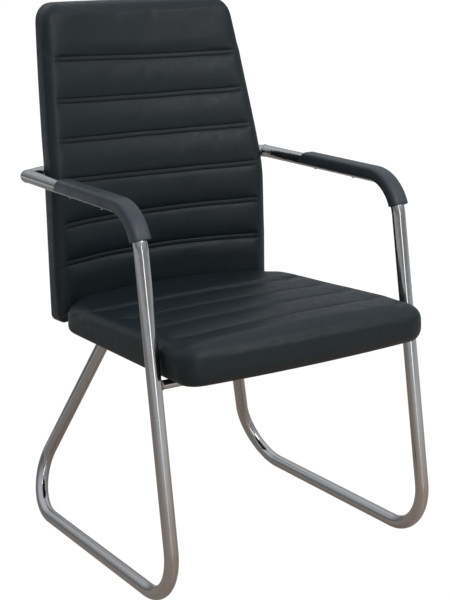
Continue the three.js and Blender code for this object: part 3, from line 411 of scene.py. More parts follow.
def moulded_pad_plastic():
    """Moulded polypropylene with a fine spark-eroded texture: matte, a little lighter than leatherette."""
    material, tree, shader = new_material(
        "moulded_black_polypropylene", Base_Color=linear("#252b30"), Roughness=0.5, IOR=1.49)
    place = object_place(tree)
    # The eroded texture is about 0.3 mm; it is drawn at 0.9 mm so that it shows
    grit = lumps(tree, place, 0.9 * MM, 3)
    rubbed = lumps(tree, place, 40 * MM, 3)
    tree.links.new(spread(tree, rubbed, 0.42, 0.56), shader.inputs["Roughness"])
    tree.links.new(raised(tree, grit, 0.35, 0.08 * MM), shader.inputs["Normal"])
    return material


def zinc_plated_steel():
    """Bright zinc plate on fasteners: grey metal with a cloudy roughness."""
    material, tree, shader = new_material(
        "zinc_plated_steel", Base_Color=linear("#b4b4b0"), Metallic=1, Roughness=0.35)
    cloud = lumps(tree, object_place(tree), 3 * MM, 4)
    tree.links.new(spread(tree, cloud, 0.28, 0.45), shader.inputs["Roughness"])
    return material


def black_powder_coat():
    """Semi-matte black powder coat: an orange peel of about 1 mm over pressed steel."""
    material, tree, shader = new_material(
        "black_powder_coat", Base_Color=linear("#17181a"), Roughness=0.48, IOR=1.5)
    peel = lumps(tree, object_place(tree), 1 * MM, 2)
    tree.links.new(raised(tree, peel, 0.3, 0.1 * MM), shader.inputs["Normal"])
    return material


def beech_plywood():
    """Raw moulded beech plywood: pale, with grain stretched along the board."""
    material, tree, shader = new_material(
        "raw_beech_plywood", Base_Color=linear("#b8935f"), Roughness=0.7)
    stretched = add_node(tree, "ShaderNodeMapping", None, {"Scale": (0.08, 1, 1)},
                         {"Vector": object_place(tree)})
    grain = lumps(tree, stretched.outputs["Vector"], 4 * MM, 5)
    tree.links.new(two_tones(tree, grain, "#a27a4b", "#cda874"), shader.inputs["Base Color"])
    return material


def spunbond_lining():
    """Black spunbond lining under the seat: matte, with the small bonded dimples of nonwoven cloth."""
    material, tree, shader = new_material(
        "black_spunbond_lining", Base_Color=linear("#141414"), Roughness=0.9)
    dimples = add_node(tree, "ShaderNodeTexVoronoi", None, {"Scale": 1 / (1.5 * MM), "Randomness": 0.15},
                       {"Vector": object_place(tree)}).outputs["Distance"]
    tree.links.new(two_tones(tree, dimples, "#0d0d0d", "#222222"), shader.inputs["Base Color"])
    tree.links.new(raised(tree, dimples, 0.4, 0.15 * MM), shader.inputs["Normal"])
    return material


chrome = chrome_plated_tube()
weld_chrome = welded_chrome()
leatherette = pebbled_leatherette()
pad_plastic = moulded_pad_plastic()
zinc = zinc_plated_steel()
powder_coat = black_powder_coat()
plywood = beech_plywood()
lining = spunbond_lining()


# Swept pieces: tubes and arm pads

def ring(radius, sides):
    """Points of a circle, as the section of a tube."""
    turns = [2 * math.pi * step / sides for step in range(sides)]
    return [(radius * math.cos(turn), radius * math.sin(turn)) for turn in turns]


def sweep(section, corners, across, last_bent_share=1):
    """Carries a section along straight runs and round bends, as a tube bender does.

    With a last bent share below 1 the piece ends inside its last bend.
    """
    first, _ = corners[0]
    heading = (corners[1][0] - first).normalized()
    over = heading.cross(across).normalized()
    bpy.ops.object.select_all(action="DESELECT")
    bpy.ops.mesh.primitive_circle_add(vertices=len(section), radius=TUBE_RADIUS)
    piece = bpy.context.object
    for vertex, (side, up) in zip(piece.data.vertices, section):
        vertex.co = first + across * side + over * up
    bpy.ops.object.mode_set(mode="EDIT")
    bpy.ops.mesh.select_all(action="SELECT")
    here = first
    for index in range(1, len(corners) - 1):
        corner, radius = corners[index]
        leaving = (corners[index + 1][0] - corner).normalized()
        turn = heading.angle(leaving)
        setback = radius * math.tan(turn / 2)
        start = corner - heading * setback
        axis = heading.cross(leaving).normalized()
        centre = start + axis.cross(heading) * radius
        bpy.ops.mesh.extrude_region_move(TRANSFORM_OT_translate={"value": start - here})
        bent = turn * (last_bent_share if index == len(corners) - 2 else 1)
        bpy.ops.mesh.spin(steps=math.ceil(bent / BEND_STEP), angle=-bent, center=centre, axis=axis)
        here = corner + leaving * setback
        heading = leaving
    if last_bent_share == 1:
        bpy.ops.mesh.extrude_region_move(TRANSFORM_OT_translate={"value": corners[-1][0] - here})
    bpy.ops.mesh.select_all(action="SELECT")
    bpy.ops.mesh.remove_doubles(threshold=MERGE_REACH)
    bpy.ops.mesh.fill_holes(sides=0)
    bpy.ops.mesh.normals_make_consistent(inside=False)
    bpy.ops.object.mode_set(mode="OBJECT")
    return piece


def trim(piece, point, normal):
    """Saws off the end that lies beyond a plane and closes the cut."""
    take(piece)
    bpy.ops.object.mode_set(mode="EDIT")
    bpy.ops.mesh.select_all(action="DESELECT")
    bpy.ops.object.mode_set(mode="OBJECT")
    mesh = piece.data
    near = [(vertex.co - point).length < TRIM_REACH for vertex in mesh.vertices]
    for polygon in mesh.polygons:
        polygon.select = any(near[index] for index in polygon.vertices)
    bpy.ops.object.mode_set(mode="EDIT")
    bpy.ops.mesh.bisect(plane_co=point, plane_no=normal, use_fill=True, clear_outer=True)
    bpy.ops.object.mode_set(mode="OBJECT")


def arm_point(side, y):
    slope = (ARM_REAR[1] - ARM_FRONT[1]) / (ARM_REAR[0] - ARM_FRONT[0])
    return Vector((side * FRAME_X, y, ARM_FRONT[1] + (y - ARM_FRONT[0]) * slope))


def leg_point(side, z):
    lean = (ARM_FRONT[0] - FLOOR_FRONT_Y) / (ARM_FRONT[1] - RUNNER_Z)
    return Vector((side * FRAME_X, FLOOR_FRONT_Y + (z - RUNNER_Z) * lean, z))


def elbow(side):
    """The welded mitre at the back of an arm: its middle, its plane and the two tubes' directions."""
    middle = Vector((side * FRAME_X, *ARM_REAR))
    along_arm = (arm_point(side, ARM_FRONT[0]) - middle).normalized()
    along_bar = (Vector((side * CROSSBAR_CORNER[0], CROSSBAR_CORNER[1], ARM_REAR[1])) - middle).normalized()
    return middle, along_arm, along_bar, (along_arm - along_bar).normalized()


def side_tube(side, name):
    middle, along_arm, _, normal = elbow(side)
    corners = [
        (middle - along_arm * TUBE_RADIUS * 2, 0),
        (arm_point(side, ARM_FRONT[0]), ARM_BEND),
        (Vector((side * FRAME_X, FLOOR_FRONT_Y, RUNNER_Z)), FLOOR_FRONT_BEND),
        (Vector((side * FRAME_X, FLOOR_REAR_Y, RUNNER_Z)), FLOOR_REAR_BEND),
        (Vector((side * RAIL_X, RAIL_REAR_Y, RAIL_Z)), RAIL_BEND),
        (Vector((side * RAIL_X, SEAT_BAR_Y, RAIL_Z)), 0),
    ]
    piece = sweep(ring(TUBE_RADIUS, TUBE_SIDES), corners, X_AXIS)
    trim(piece, middle + normal * JOINT_GAP / 2, -normal)
    smooth(piece)
    dress(piece, f"{name}_side_tube_polished", chrome, "chrome", f"{name}_side_tube")


def rear_arm_crossbar():
    left, _, left_bar, left_normal = elbow(-1)
    right, _, right_bar, right_normal = elbow(1)
    corners = [
        (left - left_bar * TUBE_RADIUS * 2, 0),
        (Vector((-CROSSBAR_CORNER[0], CROSSBAR_CORNER[1], ARM_REAR[1])), CROSSBAR_BEND),
        (Vector((CROSSBAR_CORNER[0], CROSSBAR_CORNER[1], ARM_REAR[1])), CROSSBAR_BEND),
        (right - right_bar * TUBE_RADIUS * 2, 0),
    ]
    piece = sweep(ring(TUBE_RADIUS, TUBE_SIDES), corners, Z_AXIS)
    trim(piece, left - left_normal * JOINT_GAP / 2, left_normal)
    trim(piece, right - right_normal * JOINT_GAP / 2, right_normal)
    smooth(piece)
    dress(piece, "rear_arm_crossbar_polished", chrome, "chrome", "rear_arm_crossbar")


def straight_bar(name, start, end, replaced):
    piece = sweep(ring(SEAT_BAR_RADIUS, TUBE_SIDES), [(start, 0), (end, 0)], Z_AXIS)
    smooth(piece)
    dress(piece, name, chrome, "chrome", replaced)


def bead(name, middle, normal, radius, long_axis=None, stretch=1):
    """A weld bead round a joint: a torus whose thickness ripples as the weld advanced."""
    bpy.ops.object.select_all(action="DESELECT")
    bpy.ops.mesh.primitive_torus_add(major_segments=BEAD_SEGMENTS, minor_segments=BEAD_SIDES,
                                     major_radius=radius, minor_radius=BEAD_RADIUS)
    piece = bpy.context.object
    beads = round(2 * math.pi * radius / BEAD_PITCH)
    for vertex in piece.data.vertices:
        turn = math.atan2(vertex.co.y, vertex.co.x)
        spine = Vector((math.cos(turn), math.sin(turn), 0)) * radius
        uneven = BEAD_UNEVENNESS * noise.noise(spine / BEAD_UNEVEN_SCALE)
        vertex.co = spine + (vertex.co - spine) * (1 + BEAD_RIPPLE * math.sin(turn * beads) + uneven)
    long_axis = long_axis or normal.orthogonal().normalized()
    frame_axes = Matrix((long_axis * stretch, normal.cross(long_axis), normal)).transposed()
    piece.data.transform(frame_axes.to_4x4())
    piece.data.transform(Matrix.Translation(middle))
    smooth(piece)
    dress(piece, name, weld_chrome, "chrome")


def elbow_bead(side, name):
    middle, _, along_bar, normal = elbow(side)
    long_axis = normal.cross(Z_AXIS).normalized()
    stretch = 1 / abs(along_bar.dot(normal))
    radius = TUBE_RADIUS - BEAD_RADIUS * BEAD_SUNK_SHARE
    bead(f"{name}_elbow_weld", middle, normal, radius, long_axis, stretch)


def front_bar_bead(side, name):
    inner_face = leg_point(side, SEAT_BAR_Z) - X_AXIS * side * TUBE_RADIUS
    bead(f"{name}_front_bar_weld", inner_face, X_AXIS, SEAT_BAR_RADIUS)


def pad_section():
    """A channel that clips over the tube: squarish outside, round inside and open below."""
    angles = [-PAD_LIP + (math.pi + 2 * PAD_LIP) * step / PAD_OUTLINE_STEPS
              for step in range(PAD_OUTLINE_STEPS + 1)]

    def outline(reach_across, reach_up, power):
        return [(reach_across * math.copysign(abs(math.cos(a)) ** power, math.cos(a)),
                 reach_up * math.copysign(abs(math.sin(a)) ** power, math.sin(a))) for a in angles]

    outer = outline(TUBE_RADIUS + PAD_SIDE, TUBE_RADIUS + PAD_TOP, PAD_SQUARENESS)
    inner = outline(TUBE_RADIUS + JOINT_GAP, TUBE_RADIUS + JOINT_GAP, 1)
    return outer + inner[::-1]


def arm_pad(side, name):
    rear = arm_point(side, PAD_REAR_Y)
    corners = [
        (rear, 0),
        (arm_point(side, ARM_FRONT[0]), ARM_BEND),
        (leg_point(side, RUNNER_Z), 0),
    ]
    piece = sweep(pad_section(), corners, X_AXIS, PAD_BENT_SHARE)
    backward = (rear - arm_point(side, ARM_FRONT[0])).normalized()
    chamfer = backward * math.cos(PAD_REAR_CHAMFER) + Z_AXIS * math.sin(PAD_REAR_CHAMFER)
    trim(piece, rear, chamfer.normalized())
    apply_modifier(piece, "BEVEL", width=PAD_EDGE, segments=PAD_EDGE_SEGMENTS, limit_method="ANGLE",
                   angle_limit=PAD_EDGE_ANGLE)
    smooth(piece)
    dress(piece, f"{name}_arm_pad_moulded", pad_plastic, "pad_plastic", f"{name}_arm_pad")


# Cushion forms

Plan = namedtuple("Plan", "half low high low_radius high_radius")
seat_plan = Plan(seat_high.x + SEAT_SIDE_SWELL, SEAT_FRONT_Y, SEAT_REAR_Y,
                 SEAT_FRONT_CORNER, SEAT_REAR_CORNER)
back_plan = Plan(back_high.x, back_low.z, back_high.z, BACK_BOTTOM_CORNER, BACK_TOP_CORNER)


def ramp(value, start, end):
    """A smooth step from 0 at start to 1 at end."""
    share = min(max((value - start) / (end - start), 0), 1)
    return share * share * (3 - 2 * share)


def mix(start, end, share):
    return start + (end - start) * share


def rounded(plan, inset, share_across, share_along):
    """A point of the plan's rounded outline, or of the grid inside it, in from the edge."""
    half = plan.half - inset
    low, high = plan.low + inset, plan.high - inset
    across = share_across * half
    along = mix(low, high, (share_along + 1) / 2)
    for end, sign, radius in ((low, -1, plan.low_radius), (high, 1, plan.high_radius)):
        radius = max(radius - inset, JOINT_GAP)
        side = math.copysign(1, across)
        over_across = (abs(across) - half + radius) / radius
        over_along = ((along - end) * sign + radius) / radius
        if over_across > 0 and over_along > 0:
            reach = max(over_across, over_along) * radius
            if over_across >= over_along:
                angle = over_along / over_across * math.pi / 4
            else:
                angle = math.pi / 2 - over_across / over_along * math.pi / 4
            across = side * (half - radius + reach * math.cos(angle))
            along = end + sign * (reach * math.sin(angle) - radius)
    return across, along


def edge_distance(plan, across, along):
    """Distance from a point of the plan to its edge."""
    radius = plan.low_radius if along < (plan.low + plan.high) / 2 else plan.high_radius
    over_across = abs(across) - (plan.half - radius)
    over_along = max(plan.low - along, along - plan.high) + radius
    if over_across > 0 and over_along > 0:
        return radius - math.hypot(over_across, over_along)
    return min(plan.half - abs(across), along - plan.low, plan.high - along)


def round_drop(distance, radius):
    """How far a rounded edge has dropped at a distance in from it."""
    left = max(radius - max(distance, 0), 0)
    return radius - math.sqrt(radius * radius - left * left)


def seam_shift(seam, across, half):
    """How far a seam runs from its middle place: it bends as it was sewn, and wanders a little."""
    share = across / half
    bend = (seam.right - seam.left) / 2 * share + ((seam.left + seam.right) / 2 - seam.middle) * share ** 2
    spot = Vector((across / SEAM_WANDER_SCALE, seam.middle * SEAM_WANDER_SEED, 2.1))
    return bend + noise.noise(spot) * SEAM_WANDER


def follow_seams(seams, plan, across, along):
    """Moves a point of the grid along with the seams on either side of it."""
    places = [plan.low] + [seam.middle for seam in seams] + [plan.high]
    shifts = [0] + [seam_shift(seam, across, plan.half) for seam in seams] + [0]
    for index in range(len(places) - 1):
        if along <= places[index + 1]:
            share = (along - places[index]) / (places[index + 1] - places[index])
            return along + mix(shifts[index], shifts[index + 1], ramp(share, 0, 1))
    return along


def nearest_seam(seams, along):
    """Distance to the closest seam, and whether the point lies between the first and the last."""
    distance = min(abs(along - seam.middle) for seam in seams)
    return distance, seams[0].middle < along < seams[-1].middle


def seam_relief(distance, between, pitch, across, along):
    """Height of the padding: down at a seam, sunk along its two stitched rows, up between two seams."""
    tightness = 1 + SEAM_TIGHTNESS * noise.noise(Vector((across, along, 0.3)) / SEAM_TIGHTNESS_SCALE)
    depth = SEAM_DEPTH * tightness * (1 - ramp(distance, SEAM_FLOOR, SEAM_HALF_WIDTH))
    stitched = STITCH_DEPTH * math.exp(-((distance - STITCH_OFFSET) / STITCH_HALF_WIDTH) ** 2)
    puff = PANEL_PUFF * math.sin(math.pi * min(distance / pitch, 0.5)) ** 2 if between else 0
    return puff - depth - stitched


def grid_places(low, high, edge_insets_low, edge_insets_high, seams, pitch):
    """Grid lines: close together at the edges and across each seam, and even in between."""
    lines = {low + inset for inset in edge_insets_low} | {high - inset for inset in edge_insets_high}
    for seam in seams:
        lines |= {seam + sign * offset for offset in SEAM_LINES for sign in (-1, 1)}
    placed = sorted(lines)
    filled = []
    for start, end in zip(placed, placed[1:]):
        steps = max(1, round((end - start) / pitch))
        filled += [mix(start, end, step / steps) for step in range(steps)]
    return filled + [placed[-1]]


def shares(places, low, high):
    """Places as shares of the face's own half size, with 0 in its middle."""
    middle, half = (low + high) / 2, (high - low) / 2 - TOP_RING
    return [(place - middle) / half for place in places]


def edge_insets(radius):
    """Insets of the grid lines at an edge, from the face's outer ring to beyond the rounded edge."""
    reach = radius * EDGE_LINES_REACH - TOP_RING
    return [TOP_RING + reach * step / EDGE_LINES for step in range(EDGE_LINES + 1)]


def lower_edge(radius, turn_share, pocket):
    """Inset and lift of a ring on the rounded lower edge, which turns under as far as the pocket's rim."""
    turn = turn_share * math.acos(max(1 - POCKET_RIM / radius, 0))
    inset = POCKET_RIM if turn_share == 1 else radius * (1 - math.cos(turn))
    return inset, pocket or radius * (1 - math.sin(turn))


def edge_rings(low_name, high_name, pocket):
    """Rings from the pocket round the lower edge, up the side and over the upper edge."""
    lower = [(low_name, step / LOWER_EDGE_STEPS, 0) for step in range(LOWER_EDGE_STEPS, -1, -1)]
    upper = [(high_name, TOP_RING * share, 0) for share in UPPER_EDGE_SHARES]
    return [(low_name, 1, pocket)] + lower + upper


def face_quads(low, high):
    """Faces of the two grids, the high one turned up and the low one turned down."""
    faces = []
    for column in range(len(low) - 1):
        for row in range(len(low[0]) - 1):
            faces.append((high[column][row], high[column + 1][row],
                          high[column + 1][row + 1], high[column][row + 1]))
            faces.append((low[column][row], low[column][row + 1],
                          low[column + 1][row + 1], low[column + 1][row]))
    return faces


def rim(last_column, last_row):
    """The grid's outer points in order, once round."""
    loop = [(column, 0) for column in range(last_column)]
    loop += [(last_column, row) for row in range(last_row)]
    loop += [(column, last_row) for column in range(last_column, 0, -1)]
    return loop + [(0, row) for row in range(last_row, 0, -1)]


def edge_quads(loops):
    """Faces between each two loops that follow each other."""
    faces = []
    for lower, upper in zip(loops, loops[1:]):
        for start in range(len(lower)):
            end = (start + 1) % len(lower)
            faces.append((lower[start], lower[end], upper[end], upper[start]))
    return faces


def padding(name, columns, rows, rings, place):
    """A closed cushion on a grid: a low face, rings round its edge and a high face.

    place(across, along, ring) gives a point and its distance from a seam.
    """
    points, seam_distances = [], []

    def add(column, row, ring_sizes):
        point, seam_distance = place(columns[column], rows[row], ring_sizes)
        points.append(point)
        seam_distances.append(seam_distance)
        return len(points) - 1

    low = [[add(column, row, rings[0]) for row in range(len(rows))] for column in range(len(columns))]
    high = [[add(column, row, rings[-1]) for row in range(len(rows))] for column in range(len(columns))]
    loop = rim(len(columns) - 1, len(rows) - 1)
    loops = [[low[column][row] for column, row in loop]]
    loops += [[add(column, row, sizes) for column, row in loop] for sizes in rings[1:-1]]
    loops += [[high[column][row] for column, row in loop]]
    mesh = bpy.data.meshes.new(name)
    mesh.from_pydata(points, [], face_quads(low, high) + edge_quads(loops))
    mesh.attributes.new("seam_distance", "FLOAT", "POINT").data.foreach_set("value", seam_distances)
    piece = bpy.data.objects.new(name, mesh)
    bpy.context.scene.collection.objects.link(piece)
    return piece


def swell(piece, held):
    """Lets the cover swell over its foam like cloth under pressure, held where it is sewn or stapled."""
    rest = [vertex.co.copy() for vertex in piece.data.vertices]
    group = piece.vertex_groups.new(name="held")
    group.add([index for index, point in enumerate(rest) if held(index, point)], 1, "REPLACE")
    take(piece)
    cloth = piece.modifiers.new("swelling", "CLOTH")
    cloth.settings.vertex_group_mass = group.name
    cloth.settings.use_pressure = True
    cloth.settings.uniform_pressure_force = SWELL_PRESSURE
    cloth.settings.effector_weights.gravity = 0
    for step in range(1, SWELL_FRAMES + 1):
        bpy.context.scene.frame_set(step)
    bpy.ops.object.modifier_apply(modifier=cloth.name)
    for vertex, start in zip(piece.data.vertices, rest):
        move = vertex.co - start
        if move.length > SWELL_CAP:
            vertex.co = start + move.normalized() * SWELL_CAP
    piece.vertex_groups.clear()
    bpy.context.scene.frame_set(1)


def finish_cushion(piece, stapled):
    """Swells a cushion between its seams, then rounds it with one subdivision."""
    distances = [item.value for item in piece.data.attributes["seam_distance"].data]

    def held(index, point):
        return stapled(point) or distances[index] < HELD_REACH

    swell(piece, held)
    apply_modifier(piece, "SUBSURF", levels=1, render_levels=1)
    take(piece)
    bpy.ops.object.shade_smooth()


# Seat

def seat_bowed(across, along):
    """The rear edge bows back into the hollow of the backrest, and the front edge a little forward."""
    middle = 1 - (across / seat_plan.half) ** 2
    backward = SEAT_REAR_BOW * ramp(along, SEAT_SEAMS[-1].right + SEAM_HALF_WIDTH, SEAT_REAR_Y)
    forward = SEAT_FRONT_BOW * (1 - ramp(along, SEAT_FRONT_Y, SEAT_SEAMS[0].middle - SEAM_HALF_WIDTH))
    return along + (backward - forward) * middle


def seat_top(across, along):
    """Height of the seat's top without its round edges, and the distance from a seam."""
    slope = (SEAT_TOP_FRONT_Z - SEAT_TOP_REAR_Z) / (SEAT_REAR_Y - SEAT_FRONT_Y)
    distance, between = nearest_seam(SEAT_SEAMS, along)
    fade = ramp(seat_plan.half - abs(across), TOP_RING, SEAT_SEAM_FADE)
    slack = noise.noise(Vector((across, along, 0)) / SLACK_SCALE) * SLACK
    height = (SEAT_TOP_REAR_Z + (SEAT_REAR_Y - along) * slope
              + SEAT_CROWN * (1 - (across / seat_plan.half) ** 2)
              + (seam_relief(distance, between, SEAT_SEAM_PITCH, across, along) + slack) * fade)
    return height, distance + (1 - fade) * SEAM_HALF_WIDTH


def front_roll(along):
    """1 at the seat's rolled front edge, and 0 further back, where its edges are tighter."""
    return 1 - ramp(along, SEAT_FRONT_Y + SEAT_FRONT_CORNER, SEAT_FRONT_Y + SEAT_FRONT_ROUND)


def seat_y(across, along):
    return seat_bowed(across, follow_seams(SEAT_SEAMS, seat_plan, across, along))


def seat_bottom_place(share_across, share_along, turn_share, pocket):
    """A point of the seat's lower edge, which sags in front, or of its pocket for the board."""
    _, edge_along = rounded(seat_plan, 0, share_across, share_along)
    roll = front_roll(edge_along)
    inset, lift = lower_edge(mix(SEAT_BOTTOM_EDGE, SEAT_FRONT_BOTTOM_EDGE, roll), turn_share, pocket)
    across, along = rounded(seat_plan, inset, share_across, share_along)
    off_deepest = (across / seat_plan.half - SEAT_DEEPEST_SHARE) / (1 - SEAT_DEEPEST_SHARE)
    sag = 0 if pocket else mix(SEAT_FRONT_DEEPEST_SAG, SEAT_FRONT_SAG, off_deepest ** 2) * roll
    return (across, seat_y(across, along), SEAT_BOTTOM_Z + lift - sag), SEAM_HALF_WIDTH * 2


def seat_place(share_across, share_along, sizes):
    base, inset, pocket = sizes
    if base == "bottom":
        return seat_bottom_place(share_across, share_along, inset, pocket)
    across, along = rounded(seat_plan, inset, share_across, share_along)
    height, seam_distance = seat_top(across, along)
    edge = mix(SEAT_SIDE_EDGE, SEAT_FRONT_EDGE, front_roll(along))
    drop = round_drop(edge_distance(seat_plan, across, along), edge)
    return (across, seat_y(across, along), height - drop), seam_distance


def seat_stapled(point):
    return point.z < SEAT_BOTTOM_Z + SEAT_BOTTOM_EDGE


def seat_cushion():
    seams = [seam.middle for seam in SEAT_SEAMS]
    side = edge_insets(SEAT_SIDE_EDGE)
    columns = grid_places(-seat_plan.half, seat_plan.half, side, side, [], COLUMN_PITCH)
    rows = grid_places(SEAT_FRONT_Y, SEAT_REAR_Y, edge_insets(SEAT_FRONT_EDGE), side, seams, ROW_PITCH)
    rings = edge_rings("bottom", "top", SEAT_POCKET_Z - SEAT_BOTTOM_Z)
    piece = padding("seat_padding", shares(columns, -seat_plan.half, seat_plan.half),
                    shares(rows, SEAT_FRONT_Y, SEAT_REAR_Y), rings, seat_place)
    finish_cushion(piece, seat_stapled)
    dress(piece, "seat_cushion_upholstered", leatherette, "leatherette", "seat_cushion")


# Back

def back_lean(z):
    """The back stands upright, then leans back through one large bend."""
    setback = BACK_RECLINE_RADIUS * math.tan(BACK_RECLINE / 2)
    start = BACK_RECLINE_START_Z - setback
    end = BACK_RECLINE_START_Z + setback * math.cos(BACK_RECLINE)
    if z <= start:
        return 0
    if z >= end:
        return (z - BACK_RECLINE_START_Z) * math.tan(BACK_RECLINE)
    return BACK_RECLINE_RADIUS - math.sqrt(BACK_RECLINE_RADIUS ** 2 - (z - start) ** 2)


def back_taper(z):
    share = min(max((z - BACK_TAPER_START_Z) / (back_plan.high - BACK_TAPER_START_Z), 0), 1)
    return mix(1, BACK_TOP_WIDTH / (2 * back_plan.half), share ** BACK_TAPER_POWER)


def back_rear_y(across, z):
    return (BACK_FRONT_Y + back_lean(z) + BACK_EDGE_THICKNESS
            + BACK_REAR_BOW * (1 - (across / back_plan.half) ** 2))


def back_front(across, z, sewn_z):
    """Depth of the back's front face without its round edges, and the distance from a seam."""
    distance, between = nearest_seam(BACK_SEAMS, sewn_z)
    fade = ramp(edge_distance(back_plan, across, z), TOP_RING, SEAM_FADE)
    hollow = mix(BACK_HOLLOW_BOTTOM, BACK_HOLLOW_TOP, (z - back_plan.low) / (back_plan.high - back_plan.low))
    slack = noise.noise(Vector((across, 0.4, z)) / SLACK_SCALE) * SLACK
    y = (BACK_FRONT_Y + back_lean(z) + hollow * (1 - (across / back_plan.half) ** 2)
         - (seam_relief(distance, between, BACK_SEAM_PITCH, across, z) + slack) * fade)
    return y, distance + (1 - fade) * SEAM_HALF_WIDTH


def back_place(share_across, share_along, sizes):
    base, inset, lift = sizes
    if base == "rear":
        inset, lift = lower_edge(BACK_REAR_EDGE, inset, lift)
    across, sewn_z = rounded(back_plan, inset, share_across, share_along)
    z = follow_seams(BACK_SEAMS, back_plan, across, sewn_z)
    x = across * back_taper(z)
    if base == "rear":
        return (x, back_rear_y(across, z) - lift, z), SEAM_HALF_WIDTH * 2
    y, seam_distance = back_front(across, z, sewn_z)
    return (x, y + round_drop(edge_distance(back_plan, across, z), BACK_EDGE), z), seam_distance


def back_stapled(point):
    return point.y > back_rear_y(point.x, point.z) - BACK_REAR_EDGE


def back_cushion():
    seams = [seam.middle for seam in BACK_SEAMS]
    side = edge_insets(BACK_EDGE)
    columns = grid_places(-back_plan.half, back_plan.half, side, side, [], COLUMN_PITCH)
    rows = grid_places(back_plan.low, back_plan.high, side, side, seams, ROW_PITCH)
    rings = edge_rings("rear", "front", BACK_POCKET)
    piece = padding("back_padding", shares(columns, -back_plan.half, back_plan.half),
                    shares(rows, back_plan.low, back_plan.high), rings, back_place)
    finish_cushion(piece, back_stapled)
    dress(piece, "back_cushion_upholstered", leatherette, "leatherette", "back_cushion")


def back_rear_cover():
    """The covered board behind the back, with its edges turned in."""
    edge = REAR_COVER_THICKNESS / 2

    def place(share_across, share_along, sizes):
        inset, depth = sizes
        across, z = rounded(back_plan, BOARD_RIM + inset, share_across, share_along)
        return (across * back_taper(z), back_rear_y(across, z) - depth, z), SEAM_HALF_WIDTH * 2

    steps = [step / REAR_COVER_STEPS for step in range(-REAR_COVER_STEPS, REAR_COVER_STEPS + 1)]
    turns = [math.pi / 2 * step / REAR_COVER_EDGE_STEPS for step in range(REAR_COVER_EDGE_STEPS, -1, -1)]
    rings = [(edge * 2, 0)] + [(edge * (1 - math.cos(turn)), edge * (1 - math.sin(turn))) for turn in turns]
    rings += [(0, REAR_COVER_THICKNESS), (edge * 2, REAR_COVER_THICKNESS)]
    piece = padding("rear_cover", steps, steps, rings, place)
    take(piece)
    bpy.ops.object.shade_smooth()
    dress(piece, "back_rear_cover_upholstered", leatherette, "leatherette", "back_rear_cover")


# Plates, boards and fasteners keep their modelled shapes

def finish_cad_nodes():
    by_slot = {"zinc_plate": zinc, "black_steel": powder_coat, "plywood": plywood, "lining_fabric": lining,
               "chrome": chrome, "leatherette": leatherette, "pad_plastic": pad_plastic}
    for entry in frame["record"]["subparts"]:
        mesh = nodes[entry["node"]].data
        mesh.materials.clear()
        mesh.materials.append(by_slot[entry["material_slot"]])


# Camera, floor and light

def add_camera():
    yaw, pitch, roll = CAMERA_YAW, CAMERA_PITCH, CAMERA_ROLL
    ahead = Vector((math.sin(yaw) * math.cos(pitch), math.cos(yaw) * math.cos(pitch), -math.sin(pitch)))
    level = Vector((math.cos(yaw), -math.sin(yaw), 0))
    upright = level.cross(ahead)
    right = level * math.cos(roll) + upright * math.sin(roll)
    up = upright * math.cos(roll) - level * math.sin(roll)
    data = bpy.data.cameras.new("photo_camera")
    data.sensor_width = SENSOR
    data.lens = FOCAL_PIXELS * SENSOR / IMAGE_HEIGHT
    data.shift_x = (IMAGE_WIDTH / 2 - PRINCIPAL_X_PIXELS) / IMAGE_HEIGHT
    data.shift_y = (PRINCIPAL_Y_PIXELS - IMAGE_HEIGHT / 2) / IMAGE_HEIGHT
    camera = bpy.data.objects.new("photo_camera", data)
    camera.matrix_world = Matrix.Translation(CAMERA_PLACE) @ Matrix((right, up, -ahead)).transposed().to_4x4()
    bpy.context.scene.collection.objects.link(camera)
    bpy.context.scene.camera = camera


def background_share(tree, shiny_share, camera_share=1):
    """A share of white for the camera's rays, and one for those that metal and glass reflect."""
    rays = add_node(tree, "ShaderNodeLightPath")
    shiny = add_node(tree, "ShaderNodeMath", {"operation": "MAXIMUM"}, None,
                     {0: rays.outputs["Is Glossy Ray"], 1: rays.outputs["Is Transmission Ray"]})
    shown = add_node(tree, "ShaderNodeMath", {"operation": "MULTIPLY"}, {1: shiny_share},
                     {0: shiny.outputs["Value"]})
    direct = add_node(tree, "ShaderNodeMath", {"operation": "MULTIPLY"}, {1: camera_share},
                      {0: rays.outputs["Is Camera Ray"]})
    seen = add_node(tree, "ShaderNodeMath", {"operation": "MAXIMUM"}, None,
                    {0: direct.outputs["Value"], 1: shown.outputs["Value"]})
    return seen.outputs["Value"]


